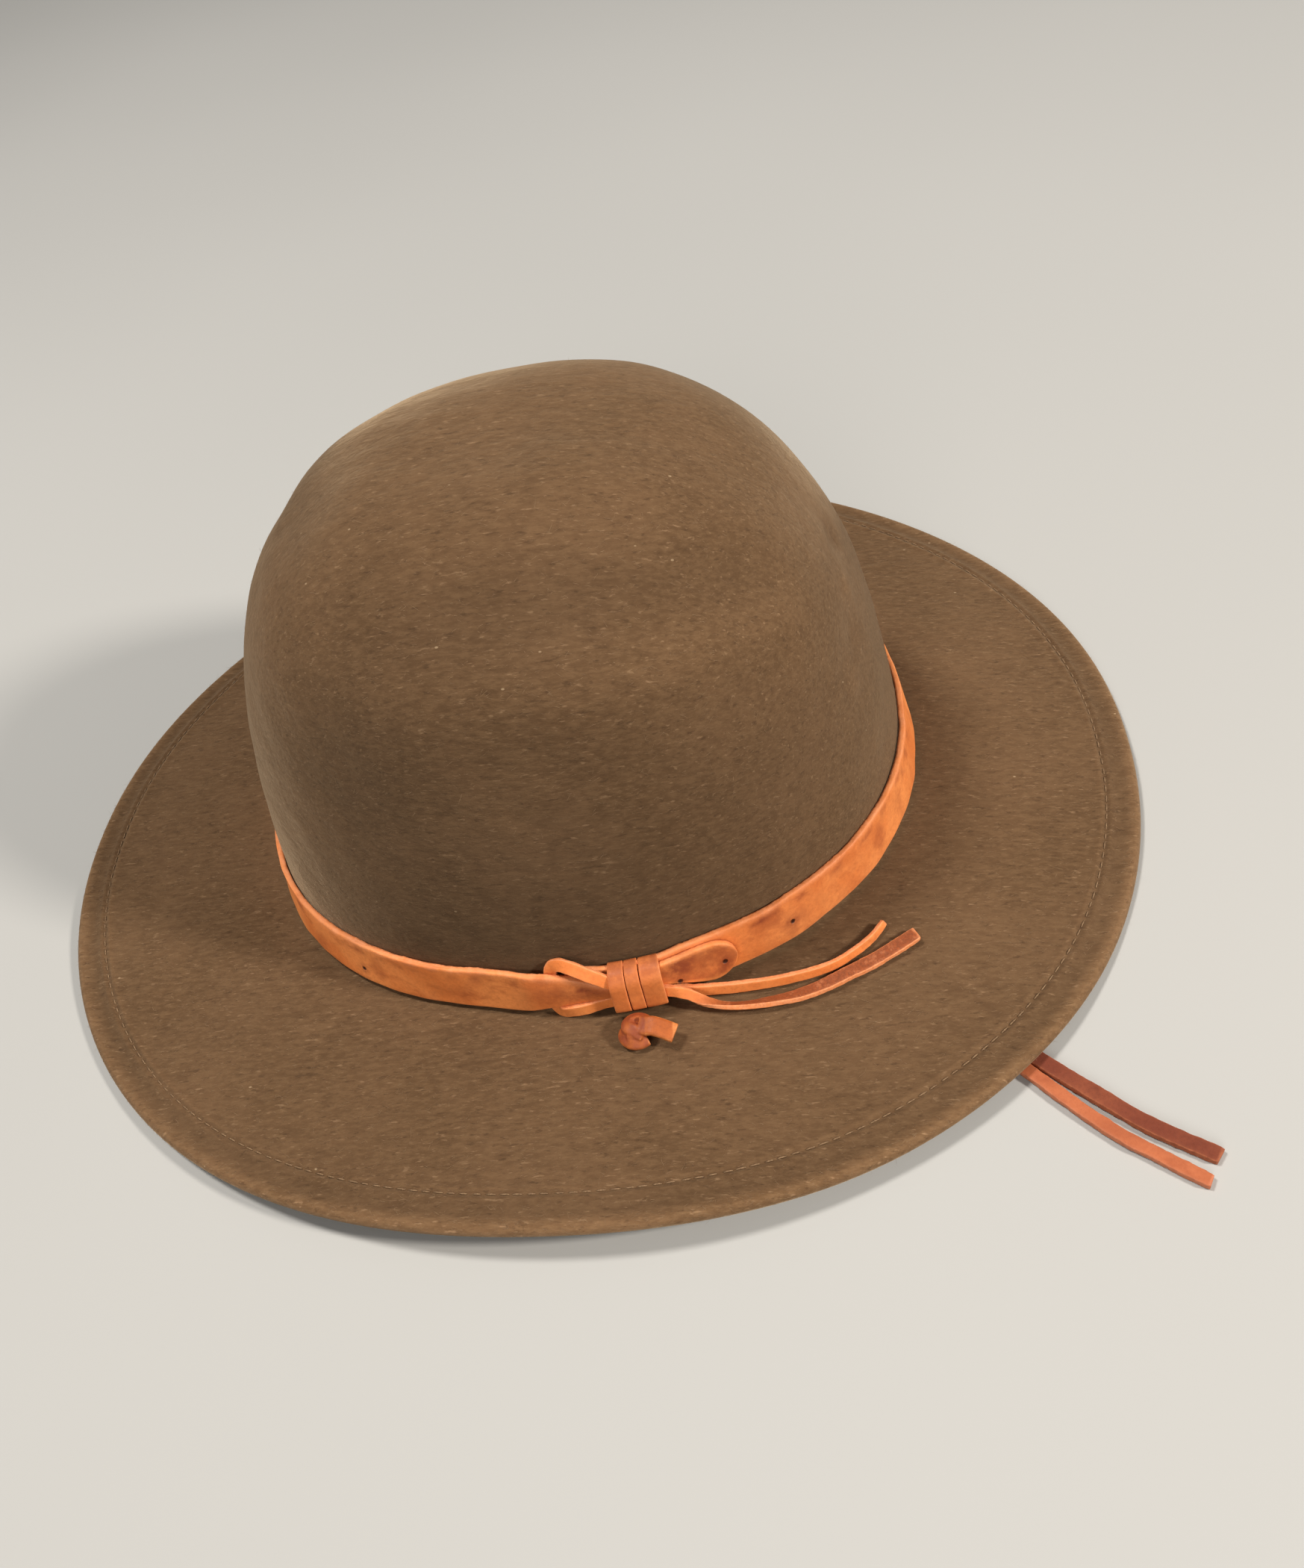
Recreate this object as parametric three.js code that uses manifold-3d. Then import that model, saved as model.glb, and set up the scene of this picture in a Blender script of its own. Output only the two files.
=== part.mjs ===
// A wide-brimmed felt safari hat, lying on its brim, with a leather band tied by a thong and a leather chin lace.
// Millimetres. +Z is up, the front of the hat points to -X and the wearer's left side to -Y.
// The origin is on the resting surface, under the middle of the brim.

import * as THREE from 'three';
import { mergeVertices } from 'three/addons/utils/BufferGeometryUtils.js';
import Module from 'manifold-3d';

const wasm = await Module();
wasm.setup();

// Driving sizes
const GAP = 0.3;
const FELT = 2.2;
const STRAP = 1.7;
const THONG = { width: 3.8, thickness: 1.6 };
const LACE = { width: 4.4, thickness: 2.0 };

const BRIM = {
  halfLength: 174.4,
  halfWidth: 154.5,
  roundness: 2.12,
  backWidening: 0.022,
  hem: 9.5,
  edgeHeight: 4.5,
  sideLift: 4.0,
  cornerDrop: 2.1,
  swell: 0.3,
  footRadius: 1.2,
};

// The brim is propped up where the chin lace's tails come out under it.
const LACE_LIFT = { angle: -44, spread: 22, height: 2.9 };

const CROWN = {
  halfLength: 102.9,
  halfWidth: 86.1,
  roundness: 2.16,
  centre: 3.9,
  top: 140.3,
  topShift: 6.5,
  flare: 1.1,
  flareShare: 0.08,
};

const BAND = {
  width: 15.8,
  aboveFoot: 1.5,
  clear: 0.4,
  height: 10.9,
  rise: 3.3,
  ends: 0.7,
};

// How the crown's wall closes towards the top, seen from each side
const CROWN_SIDES = {
  front: { taper: 0.135, wall: 3.28, shoulder: 3.73 },
  back: { taper: 0.185, wall: 4.28, shoulder: 2.26 },
  flank: { taper: 0.095, wall: 2.64, shoulder: 3.75 },
};

// Soft dents in the crown: their middle, half size along X and across it, and depth (a swelling is below zero)
const DENTS = [
  { name: 'near top', x: 21, y: -46, z: 133, along: 58, across: 26, depth: 4.0 },
  { name: 'near shoulder', x: 5, y: -64, z: 110, along: 62, across: 15, depth: -1.4 },
  { name: 'front shoulder', x: -50, y: -10, z: 131, along: 14, across: 20, depth: 1.8 },
  { name: 'back wall', x: 92, y: -26, z: 76, along: 12, across: 16, depth: 1.6 },
  { name: 'far wall', x: 10, y: 80, z: 72, along: 50, across: 24, depth: 1.5 },
];

const FELT_SIDES = 64;
const CROWN_ROWS = 13;
const BAND_ROWS = [0.035, 0.08, 0.135];

const rad = THREE.MathUtils.degToRad;
const mix = THREE.MathUtils.lerp;
const vec = (x, y, z) => new THREE.Vector3(x, y, z);
const smooth = (share) => THREE.MathUtils.smoothstep(share, 0, 1);

// Materials
const felt = { color: '#75593b', roughness: 0.95, metalness: 0 };
const tan = { color: '#c66e36', roughness: 0.55, metalness: 0 };
const burnished = { color: '#b1603a', roughness: 0.5, metalness: 0 };

function meshOf(name, geometry, look) {
  const mesh = new THREE.Mesh(geometry, new THREE.MeshStandardMaterial(look));
  mesh.name = name;
  return mesh;
}

// A point of a rounded oval; widening makes its +X half a little wider
function oval(angle, halfLength, halfWidth, roundness, widening = 0) {
  const c = Math.cos(angle);
  const s = Math.sin(angle);
  const k = (Math.abs(c) ** roundness + Math.abs(s) ** roundness) ** (-1 / roundness);
  return [halfLength * c * k, halfWidth * s * k * (1 + widening * c)];
}

// Height of the band's lower edge: it rises to the back
function bandHeight(angle) {
  return BAND.height + BAND.rise * Math.cos(angle) + BAND.ends * Math.cos(2 * angle);
}

function footHeight(angle) {
  return bandHeight(angle) - BAND.aboveFoot;
}

// Middle height of the brim's folded edge
function edgeHeight(angle) {
  const waves = -BRIM.sideLift * Math.cos(2 * angle) + BRIM.cornerDrop * Math.cos(4 * angle);
  const away = Math.abs(angle - rad(LACE_LIFT.angle)) / rad(LACE_LIFT.spread);
  return BRIM.edgeHeight + waves + LACE_LIFT.height * smooth(1 - Math.min(away, 1));
}

// Share of the crown's foot size that is left at a height share
function crownClosing(angle, share) {
  const c = Math.cos(angle);
  const ends = c < 0 ? CROWN_SIDES.front : CROWN_SIDES.back;
  const blend = (key) => ends[key] * c * c + CROWN_SIDES.flank[key] * (1 - c * c);
  const closing = Math.max(0, 1 - share ** blend('wall')) ** (1 / blend('shoulder'));
  return (1 - blend('taper') * share) * closing;
}

function crownPoint(angle, share) {
  const flare = CROWN.flare * (1 - Math.exp(-share / CROWN.flareShare));
  const [x, y] = oval(angle, CROWN.halfLength - flare, CROWN.halfWidth - flare, CROWN.roundness);
  const k = crownClosing(angle, share);
  const z = mix(footHeight(angle), CROWN.top, share);
  const point = vec(CROWN.centre + x * k + CROWN.topShift * share ** 1.5, y * k, z);
  const inward = vec(CROWN.centre, 0, CROWN.top * 0.35).sub(point).normalize();
  for (const dent of DENTS) {
    const away = Math.hypot(
      (point.x - dent.x) / dent.along,
      (point.y - dent.y) / dent.across,
      (point.z - dent.z) / dent.across,
    );
    point.addScaledVector(inward, dent.depth * Math.exp(-away * away));
  }
  return point;
}

// Height shares that give rows an even distance apart along the crown's profile, above the band's own rows
function crownShares(rows) {
  const steps = 200;
  const start = BAND_ROWS.at(-1);
  const shareAt = (i) => mix(start, 1, i / steps);
  const run = [0];
  for (let i = 1; i <= steps; i += 1) {
    const gap = crownPoint(-1.2, shareAt(i)).distanceTo(crownPoint(-1.2, shareAt(i - 1)));
    run.push(run[i - 1] + gap);
  }
  const even = Array.from({ length: rows - 1 }, (_, row) => {
    const wanted = (run[steps] * (row + 1)) / rows;
    const i = run.findIndex((length) => length > wanted);
    return shareAt(i - 1 + (wanted - run[i - 1]) / (run[i] - run[i - 1]));
  });
  return [...BAND_ROWS, ...even];
}

function brimPoint(angle, share) {
  const [ix, iy] = oval(
    angle,
    CROWN.halfLength + BRIM.footRadius,
    CROWN.halfWidth + BRIM.footRadius,
    CROWN.roundness,
  );
  const [ox, oy] = oval(
    angle,
    BRIM.halfLength - FELT,
    BRIM.halfWidth - FELT,
    BRIM.roundness,
    BRIM.backWidening,
  );
  const rise = BRIM.swell * 4 * share * (1 - share);
  const z = mix(footHeight(angle), edgeHeight(angle) + FELT, share) + rise;
  return vec(mix(ix + CROWN.centre, ox, share), mix(iy, oy, share), z);
}

// The felt's upper face as rows from the crown's top down and out to the brim's edge
function feltTopRows(sides) {
  const angles = Array.from({ length: sides }, (_, i) => -Math.PI + (2 * Math.PI * i) / sides);
  const hemShare = 1 - BRIM.hem / 68;
  const rows = [];
  for (const share of crownShares(CROWN_ROWS).reverse()) {
    rows.push({ part: 'crown', points: angles.map((a) => crownPoint(a, share)) });
  }
  const lift = (a, height) => crownPoint(a, 0).add(vec(0, 0, height));
  const r = BRIM.footRadius;
  const turn = r * (1 - Math.SQRT1_2);
  rows.push({ part: 'crown', points: angles.map((a) => lift(a, r)) });
  rows.push({ part: 'foot', points: angles.map((a) => lift(a, turn).lerp(brimPoint(a, 0), turn / r)) });
  for (const share of [0, 0.2, 0.42, 0.64, hemShare, 0.955, 1]) {
    rows.push({ part: 'brim', share, points: angles.map((a) => brimPoint(a, share)) });
  }
  return { rows, hemShare };
}

// Normals of a grid of rows that closes around
function rowNormals(rows) {
  return rows.map((row, i) => {
    const above = rows[Math.max(i - 1, 0)].points;
    const below = rows[Math.min(i + 1, rows.length - 1)].points;
    const count = row.points.length;
    return row.points.map((_, j) => {
      const around = row.points[(j + 1) % count].clone().sub(row.points[(j + count - 1) % count]);
      const down = below[j].clone().sub(above[j]);
      return down.cross(around).normalize();
    });
  });
}

// A closed skin through rings of points, each end closed by a point or a flat fan
function skin(rings, first, last) {
  const count = rings[0].length;
  const position = [];
  const index = [];
  for (const ring of rings) for (const p of ring) position.push(p.x, p.y, p.z);
  for (let i = 0; i + 1 < rings.length; i += 1) {
    for (let j = 0; j < count; j += 1) {
      const a = i * count + j;
      const b = i * count + ((j + 1) % count);
      index.push(a, a + count, b, b, a + count, b + count);
    }
  }
  const start = position.length / 3;
  position.push(first.x, first.y, first.z, last.x, last.y, last.z);
  const end = (rings.length - 1) * count;
  for (let j = 0; j < count; j += 1) {
    const next = (j + 1) % count;
    index.push(start, j, next);
    index.push(start + 1, end + next, end + j);
  }
  const geometry = new THREE.BufferGeometry();
  geometry.setAttribute('position', new THREE.Float32BufferAttribute(position, 3));
  geometry.setIndex(index);
  return geometry;
}

const centreOf = (ring) => ring.reduce((sum, p) => sum.add(p), vec(0, 0, 0)).divideScalar(ring.length);

// Boolean cuts and joins
function solidOf(geometry) {
  const bare = geometry.clone();
  bare.deleteAttribute('normal');
  bare.deleteAttribute('uv');
  const merged = mergeVertices(bare);
  const vertProperties = Float32Array.from(merged.attributes.position.array);
  const triVerts = Uint32Array.from(merged.index.array);
  return new wasm.Manifold(new wasm.Mesh({ numProp: 3, vertProperties, triVerts }));
}

function geometryOf(solid) {
  const { vertProperties, triVerts } = solid.getMesh();
  const geometry = new THREE.BufferGeometry();
  geometry.setAttribute('position', new THREE.BufferAttribute(vertProperties, 3));
  geometry.setIndex(new THREE.BufferAttribute(triVerts, 1));
  return geometry;
}

// Where the chin lace goes through the brim, on the wearer's left and right
const LACE_HOLE = { x: 23.5, y: 99.4, radius: 1.9 };
const BRIM_AT_HOLE = { top: 10.0, under: 7.8 };

function laceHole(side) {
  const hole = new THREE.CylinderGeometry(LACE_HOLE.radius, LACE_HOLE.radius, 12, 10);
  hole.rotateX(Math.PI / 2);
  return hole.translate(LACE_HOLE.x, side * LACE_HOLE.y, BRIM_AT_HOLE.top);
}

// The felt crown and brim, with the hem folded under
function feltBody() {
  const { rows, hemShare } = feltTopRows(FELT_SIDES);
  const normals = rowNormals(rows);
  const inside = (i, depth) => rows[i].points.map((p, j) => p.clone().addScaledVector(normals[i][j], -depth));
  const rings = rows.map((row) => row.points);
  const edge = rows.length - 1;
  for (const turn of [45, 90, 135]) {
    rings.push(
      rows[edge].points.map((p, j) => {
        const up = normals[edge][j];
        const out = p.clone().sub(rows[edge - 1].points[j]).projectOnPlane(up).normalize();
        const middle = p.clone().addScaledVector(up, -FELT);
        return middle
          .addScaledVector(up, FELT * Math.cos(rad(turn)))
          .addScaledVector(out, FELT * Math.sin(rad(turn)));
      }),
    );
  }
  for (let i = edge; rows[i].share >= hemShare; i -= 1) rings.push(inside(i, 2 * FELT));
  for (let i = edge; i >= 0; i -= 1) {
    if (!(rows[i].share > hemShare)) rings.push(inside(i, FELT));
  }
  for (const ring of rings) for (const p of ring) p.z = Math.max(p.z, 0);
  const top = crownPoint(0, 1);
  const shell = skin(rings, top, top.clone().add(vec(0, 0, -FELT)));
  const cut = solidOf(shell).subtract(solidOf(laceHole(-1))).subtract(solidOf(laceHole(1)));
  return meshOf('felt_body', geometryOf(cut), felt);
}


// Places on the band's seat: degrees around the crown, height above the band's lower edge and distance out
// from the face that the strap lies on
function seatFrame(angle, height) {
  const a = rad(angle);
  const wall = (turn, h) => {
    const share = (BAND.aboveFoot + h) / (CROWN.top - footHeight(turn));
    return crownPoint(turn, Math.max(share, 0));
  };
  const point = wall(a, height);
  const along = wall(a + 0.02, height).sub(wall(a - 0.02, height)).normalize();
  const up = wall(a, Math.max(height, -1) + 1).sub(wall(a, Math.max(height, -1))).normalize();
  const out = along.clone().cross(up).normalize();
  return { point, out, up };
}

function seat(angle, height, out) {
  const frame = seatFrame(angle, height);
  return frame.point.addScaledVector(frame.out, BAND.clear + out);
}

// The strap from its hidden right end around the back and front, over itself and on to the tab:
// its lower and upper edge and how far its inner face stands out
const STRAP_RUN = [
  { angle: -89.4, low: 1.1, high: BAND.width, out: 0.0 },
  { angle: -87.0, low: 1.1, high: BAND.width, out: 0.25 },
  { angle: -83.7, low: 1.1, high: BAND.width, out: 1.1 },
  { angle: -73.5, low: 1.1, high: BAND.width, out: 1.1 },
  { angle: -70.0, low: 0.4, high: BAND.width, out: 0.0 },
  { angle: -66.0, low: 0.0, high: BAND.width, out: 0.0 },
  { angle: 257.0, low: 0.0, high: BAND.width, out: 0.0 },
  { angle: 261.5, low: 0.0, high: 15.6, out: 0.9 },
  { angle: 264.5, low: 1.6, high: 14.8, out: 1.9 },
  { angle: 267.2, low: 2.7, high: 14.3, out: 1.9 },
  { angle: 270.5, low: 3.8, high: 13.0, out: 2.0 },
  { angle: 273.5, low: 4.8, high: 11.0, out: 2.4 },
  { angle: 276.3, low: 5.0, high: 9.6, out: 3.1 },
  { angle: 281.0, low: 5.2, high: 11.4, out: 3.1 },
  { angle: 285.8, low: 5.4, high: 14.0, out: 3.1 },
  { angle: 288.5, low: 3.6, high: 14.3, out: 2.7 },
  { angle: 291.0, low: 1.0, high: 14.4, out: 2.0 },
  { angle: 293.0, low: 0.2, high: 14.4, out: 2.0 },
];
const TAB = { angle: 293.0, low: 0.2, high: 14.4, out: 2.0, millimetresPerDegree: 1.66 };

function alongRun(run, angle) {
  const i = Math.max(1, run.findIndex((row) => row.angle >= angle));
  const [a, b] = [run[i - 1], run[i]];
  const share = (angle - a.angle) / (b.angle - a.angle);
  const at = (key) => mix(a[key], b[key], share);
  return { angle, low: at('low'), high: at('high'), out: at('out') };
}

// The angles where the strap is cut into short straight pieces: close together where it bends
function strapSections() {
  const angles = [];
  const plain = { from: -66, to: 257, steps: 58 };
  for (let a = STRAP_RUN[0].angle; a < plain.from; a += 1.7) angles.push(a);
  for (let i = 0; i <= plain.steps; i += 1) angles.push(mix(plain.from, plain.to, i / plain.steps));
  for (let a = plain.to + 1.5; a < TAB.angle; a += 1.5) angles.push(a);
  const sections = angles.map((angle) => alongRun(STRAP_RUN, angle));
  const radius = (TAB.high - TAB.low) / 2;
  const middle = (TAB.high + TAB.low) / 2;
  for (const turn of [0, 25, 45, 62, 76, 86]) {
    const half = radius * Math.cos(rad(turn));
    const angle = TAB.angle + (radius * Math.sin(rad(turn))) / TAB.millimetresPerDegree;
    sections.push({ angle, low: middle - half, high: middle + half, out: TAB.out });
  }
  return sections;
}

function hatBand() {
  const rings = strapSections().map(({ angle, low, high, out }) => [
    seat(angle, low, out),
    seat(angle, low, out + STRAP),
    seat(angle, high, out + STRAP),
    seat(angle, high, out),
  ]);
  return meshOf('hat_band', skin(rings, centreOf(rings[0]), centreOf(rings.at(-1))), tan);
}

// The keeper: three turns around the strap's neck, a sleeve with a shallow groove between the turns
const KEEPER = {
  from: -83.4,
  to: -74.7,
  hole: { low: 0.8, high: 16.1, inner: 0.8, outer: 7.0, corner: 0.4 },
  wall: { back: 0.8, side: 1.1, corner: 2.0 },
  slits: [-80.9, -78.4],
  slitHalfWidth: 0.22,
  slitDepth: 0.5,
};

// A rounded rectangle in the plane of height and distance out
function cornerRing(low, high, inner, outer, corner) {
  const middles = [
    { height: high - corner, out: inner + corner, start: 90 },
    { height: high - corner, out: outer - corner, start: 0 },
    { height: low + corner, out: outer - corner, start: -90 },
    { height: low + corner, out: inner + corner, start: -180 },
  ];
  return middles.flatMap(({ height, out, start }) =>
    [90, 45, 0].map((turn) => ({
      height: height + corner * Math.sin(rad(start + turn)),
      out: out + corner * Math.cos(rad(start + turn)),
    })),
  );
}


function bandKeeper() {
  const { hole, wall } = KEEPER;
  const outer = (angle, shrink) =>
    cornerRing(
      hole.low - wall.side + shrink,
      hole.high + wall.side - shrink,
      hole.inner - wall.back,
      hole.outer + wall.side - shrink,
      Math.min(wall.corner, (wall.back + hole.outer) / 2),
    ).map(({ height, out }) => seat(angle, height, Math.max(out, 0)));
  const inner = (angle) =>
    cornerRing(hole.low, hole.high, hole.inner, hole.outer, hole.corner).map(({ height, out }) =>
      seat(angle, height, out),
    );
  const rings = [outer(KEEPER.from, 0)];
  for (const slit of KEEPER.slits) {
    rings.push(outer(slit - KEEPER.slitHalfWidth, 0));
    rings.push(outer(slit, KEEPER.slitDepth));
    rings.push(outer(slit + KEEPER.slitHalfWidth, 0));
  }
  rings.push(outer(KEEPER.to, 0));
  rings.push(inner(KEEPER.to));
  rings.push(inner(mix(KEEPER.to, KEEPER.from, 0.5)));
  rings.push(inner(KEEPER.from));
  return meshOf('band_keeper', closedSleeve(rings), tan);
}

// Rings that lead out along a sleeve and back through its hole
function closedSleeve(rings) {
  const count = rings[0].length;
  const position = rings.flat().flatMap((p) => [p.x, p.y, p.z]);
  const index = [];
  for (let i = 0; i < rings.length; i += 1) {
    const next = (i + 1) % rings.length;
    for (let j = 0; j < count; j += 1) {
      const k = (j + 1) % count;
      const [a, b] = [i * count + j, i * count + k];
      const [c, d] = [next * count + j, next * count + k];
      index.push(a, b, c, b, d, c);
    }
  }
  const geometry = new THREE.BufferGeometry();
  geometry.setAttribute('position', new THREE.Float32BufferAttribute(position, 3));
  geometry.setIndex(index);
  return geometry;
}

// A smooth line that also carries the way a flat thong's broad face looks at each of its points
class RibbonLine extends THREE.CatmullRomCurve3 {
  constructor(points, faces) {
    super(points, false, 'centripetal');
    this.faces = faces;
  }

  computeFrenetFrames(segments) {
    const frames = { tangents: [], normals: [], binormals: [] };
    for (let i = 0; i <= segments; i += 1) {
      const u = i / segments;
      const tangent = this.getTangentAt(u).normalize();
      const place = this.getUtoTmapping(u) * (this.faces.length - 1);
      const from = Math.min(Math.floor(place), this.faces.length - 2);
      const face = this.faces[from].clone().lerp(this.faces[from + 1], place - from);
      const normal = face.projectOnPlane(tangent).normalize();
      frames.tangents.push(tangent);
      frames.normals.push(normal);
      frames.binormals.push(tangent.clone().cross(normal));
    }
    return frames;
  }
}

// The section of a flat thong: a rectangle with trimmed corners
function thongSection({ width, thickness }) {
  const [w, t, trim] = [width / 2, thickness / 2, 0.35];
  return new THREE.Shape(
    [
      [t, -w + trim],
      [t, w - trim],
      [t - trim, w],
      [-t + trim, w],
      [-t, w - trim],
      [-t, -w + trim],
      [-t + trim, -w],
      [t - trim, -w],
    ].map(([x, y]) => new THREE.Vector2(x, y)),
  );
}

function thong(line, size, stepLength) {
  const steps = Math.min(80, Math.ceil(line.getLength() / stepLength));
  return new THREE.ExtrudeGeometry(thongSection(size), { steps, extrudePath: line });
}

// The thong's hidden loop behind the strap and its two legs through the keeper.
// turn is the way that its grain side looks: 0 out from the crown, 90 up, 180 at the crown, 270 down
const BOW_LOOP = [
  { angle: -74.4, height: 4.6, out: 5.9, turn: 0 },
  { angle: -78.5, height: 7.0, out: 5.9, turn: 0 },
  { angle: -81.5, height: 9.0, out: 5.9, turn: 0 },
  { angle: -83.9, height: 10.6, out: 5.9, turn: 0 },
  { angle: -86.3, height: 13.2, out: 5.6, turn: 10 },
  { angle: -88.4, height: 16.4, out: 4.8, turn: 35 },
  { angle: -90.2, height: 17.9, out: 3.4, turn: 75 },
  { angle: -91.7, height: 17.1, out: 1.8, turn: 125 },
  { angle: -92.6, height: 14.6, out: 0.85, turn: 175 },
  { angle: -93.0, height: 11.0, out: 0.8, turn: 180 },
  { angle: -93.0, height: 6.5, out: 0.8, turn: 180 },
  { angle: -92.9, height: 2.6, out: 0.9, turn: 190 },
  { angle: -92.4, height: 0.1, out: 2.3, turn: 250 },
  { angle: -91.2, height: 0.2, out: 4.4, turn: 305 },
  { angle: -89.2, height: 1.3, out: 5.1, turn: 340 },
  { angle: -86.8, height: 2.6, out: 4.5, turn: 358 },
  { angle: -83.9, height: 2.8, out: 3.95, turn: 360 },
  { angle: -79.0, height: 2.8, out: 3.9, turn: 360 },
  { angle: -74.4, height: 2.8, out: 3.9, turn: 360 },
];

function bowLoop() {
  const points = BOW_LOOP.map((row) => seat(row.angle, row.height, row.out));
  const faces = BOW_LOOP.map((row) => {
    const { out, up } = seatFrame(row.angle, row.height);
    const turn = rad(row.turn);
    return out.multiplyScalar(Math.cos(turn)).addScaledVector(up, Math.sin(turn));
  });
  return meshOf('bow_loop', thong(new RibbonLine(points, faces), THONG, 1.9), tan);
}

// The thong's free ends on the brim: middle line, and how far the face leans out from straight up
const BOW_TAIL_UPPER = [
  { x: 33.4, y: -89.0, z: 14.4, lean: 78 },
  { x: 36.6, y: -88.5, z: 14.2, lean: 70 },
  { x: 40.0, y: -88.0, z: 13.9, lean: 60 },
  { x: 46.6, y: -87.6, z: 13.4, lean: 45 },
  { x: 52.8, y: -86.9, z: 13.1, lean: 34 },
  { x: 59.3, y: -85.8, z: 12.8, lean: 22 },
  { x: 67.4, y: -84.4, z: 12.5, lean: 12 },
  { x: 75.2, y: -82.3, z: 12.5, lean: 5 },
  { x: 80.0, y: -80.3, z: 12.6, lean: 0 },
  { x: 84.2, y: -77.5, z: 12.8, lean: 0 },
  { x: 89.2, y: -73.5, z: 13.1, lean: 0 },
  { x: 93.6, y: -68.9, z: 13.5, lean: 0 },
];
const BOW_TAIL_LOWER = [
  { x: 33.6, y: -91.0, z: 16.0, lean: 78 },
  { x: 36.8, y: -91.2, z: 16.3, lean: 60 },
  { x: 40.4, y: -91.2, z: 16.0, lean: 40 },
  { x: 45.6, y: -92.6, z: 14.9, lean: 15 },
  { x: 50.4, y: -93.6, z: 13.9, lean: 0 },
  { x: 55.4, y: -94.0, z: 13.2, lean: -8 },
  { x: 63.2, y: -93.4, z: 12.7, lean: -5 },
  { x: 69.2, y: -91.4, z: 12.5, lean: 0 },
  { x: 74.9, y: -89.1, z: 12.4, lean: 0 },
  { x: 81.0, y: -85.9, z: 12.3, lean: 0 },
  { x: 86.9, y: -82.2, z: 12.3, lean: 0 },
  { x: 94.8, y: -77.6, z: 12.3, lean: 0 },
  { x: 102.6, y: -73.0, z: 12.3, lean: 0 },
];

// The chin laces: down from their holes, over the table under the hat, through the slide, and out
const CHIN_LACE_LEFT = [
  { x: 23.5, y: -99.4, z: 6.3, lean: 90 },
  { x: 23.5, y: -98.6, z: 3.6, lean: 65 },
  { x: 23.4, y: -96.6, z: 1.75, lean: 25 },
  { x: 22.8, y: -92.8, z: 1.1, lean: 0 },
  { x: 19.0, y: -83.0, z: 1.1, lean: 0 },
  { x: 8.0, y: -73.0, z: 1.1, lean: 0 },
  { x: -8.0, y: -64.0, z: 1.1, lean: 0 },
  { x: -25.0, y: -52.0, z: 1.1, lean: 0 },
  { x: -36.0, y: -34.0, z: 1.1, lean: 0 },
  { x: -37.0, y: -13.0, z: 1.1, lean: 0 },
  { x: -27.0, y: 5.0, z: 1.1, lean: 0 },
  { x: -9.0, y: 16.0, z: 1.1, lean: 0 },
  { x: 12.0, y: 17.0, z: 1.1, lean: 0 },
  { x: 31.0, y: 8.0, z: 1.1, lean: 0 },
  { x: 45.0, y: -8.0, z: 1.1, lean: 0 },
  { x: 55.5, y: -26.0, z: 1.3, lean: 0 },
  { x: 62.9, y: -40.2, z: 2.5, lean: 0 },
  { x: 67.0, y: -45.4, z: 2.7, lean: 0 },
  { x: 77.3, y: -57.7, z: 2.7, lean: 0 },
  { x: 82.0, y: -63.2, z: 2.3, lean: 0 },
  { x: 92.0, y: -75.0, z: 1.2, lean: 0 },
  { x: 108.0, y: -93.0, z: 1.1, lean: 0 },
  { x: 127.2, y: -112.5, z: 1.2, lean: 0 },
  { x: 137.0, y: -122.7, z: 1.3, lean: 0 },
  { x: 146.6, y: -131.6, z: 1.2, lean: 0 },
  { x: 156.0, y: -138.3, z: 1.1, lean: 0 },
  { x: 164.6, y: -144.2, z: 1.1, lean: 0 },
];
const CHIN_LACE_RIGHT = [
  { x: 23.5, y: 99.4, z: 6.3, lean: 90 },
  { x: 23.5, y: 98.6, z: 3.6, lean: 65 },
  { x: 23.4, y: 96.6, z: 1.75, lean: 25 },
  { x: 22.8, y: 92.8, z: 1.1, lean: 0 },
  { x: 18.0, y: 83.0, z: 1.1, lean: 0 },
  { x: 7.0, y: 74.0, z: 1.1, lean: 0 },
  { x: -5.0, y: 64.0, z: 1.1, lean: 0 },
  { x: -8.0, y: 50.0, z: 1.1, lean: 0 },
  { x: 2.0, y: 39.0, z: 1.1, lean: 0 },
  { x: 18.0, y: 38.0, z: 1.1, lean: 0 },
  { x: 34.0, y: 43.0, z: 1.1, lean: 0 },
  { x: 50.0, y: 46.0, z: 1.1, lean: 0 },
  { x: 63.0, y: 39.0, z: 1.1, lean: 0 },
  { x: 68.5, y: 24.0, z: 1.1, lean: 0 },
  { x: 66.0, y: 7.0, z: 1.1, lean: 0 },
  { x: 61.5, y: -9.0, z: 1.2, lean: 0 },
  { x: 63.8, y: -24.0, z: 1.8, lean: 0 },
  { x: 67.6, y: -36.5, z: 2.5, lean: 0 },
  { x: 70.7, y: -42.3, z: 2.7, lean: 0 },
  { x: 81.0, y: -54.6, z: 2.7, lean: 0 },
  { x: 86.0, y: -60.5, z: 2.3, lean: 0 },
  { x: 96.2, y: -72.0, z: 1.2, lean: 0 },
  { x: 113.0, y: -91.0, z: 1.1, lean: 0 },
  { x: 131.4, y: -110.1, z: 1.2, lean: 0 },
  { x: 140.5, y: -118.2, z: 1.3, lean: 0 },
  { x: 153.6, y: -128.9, z: 1.2, lean: 0 },
  { x: 168.2, y: -137.8, z: 1.1, lean: 0 },
];

// heading is the way that a leaning face looks
function laceAlong(name, rows, heading, size, stepLength) {
  const points = rows.map(({ x, y, z }) => vec(x, y, z));
  const faces = rows.map(({ lean }) => {
    const turn = rad(lean);
    return vec(0, 0, Math.cos(turn)).addScaledVector(heading, Math.sin(turn));
  });
  return meshOf(name, thong(new RibbonLine(points, faces), size, stepLength), tan);
}

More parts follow.
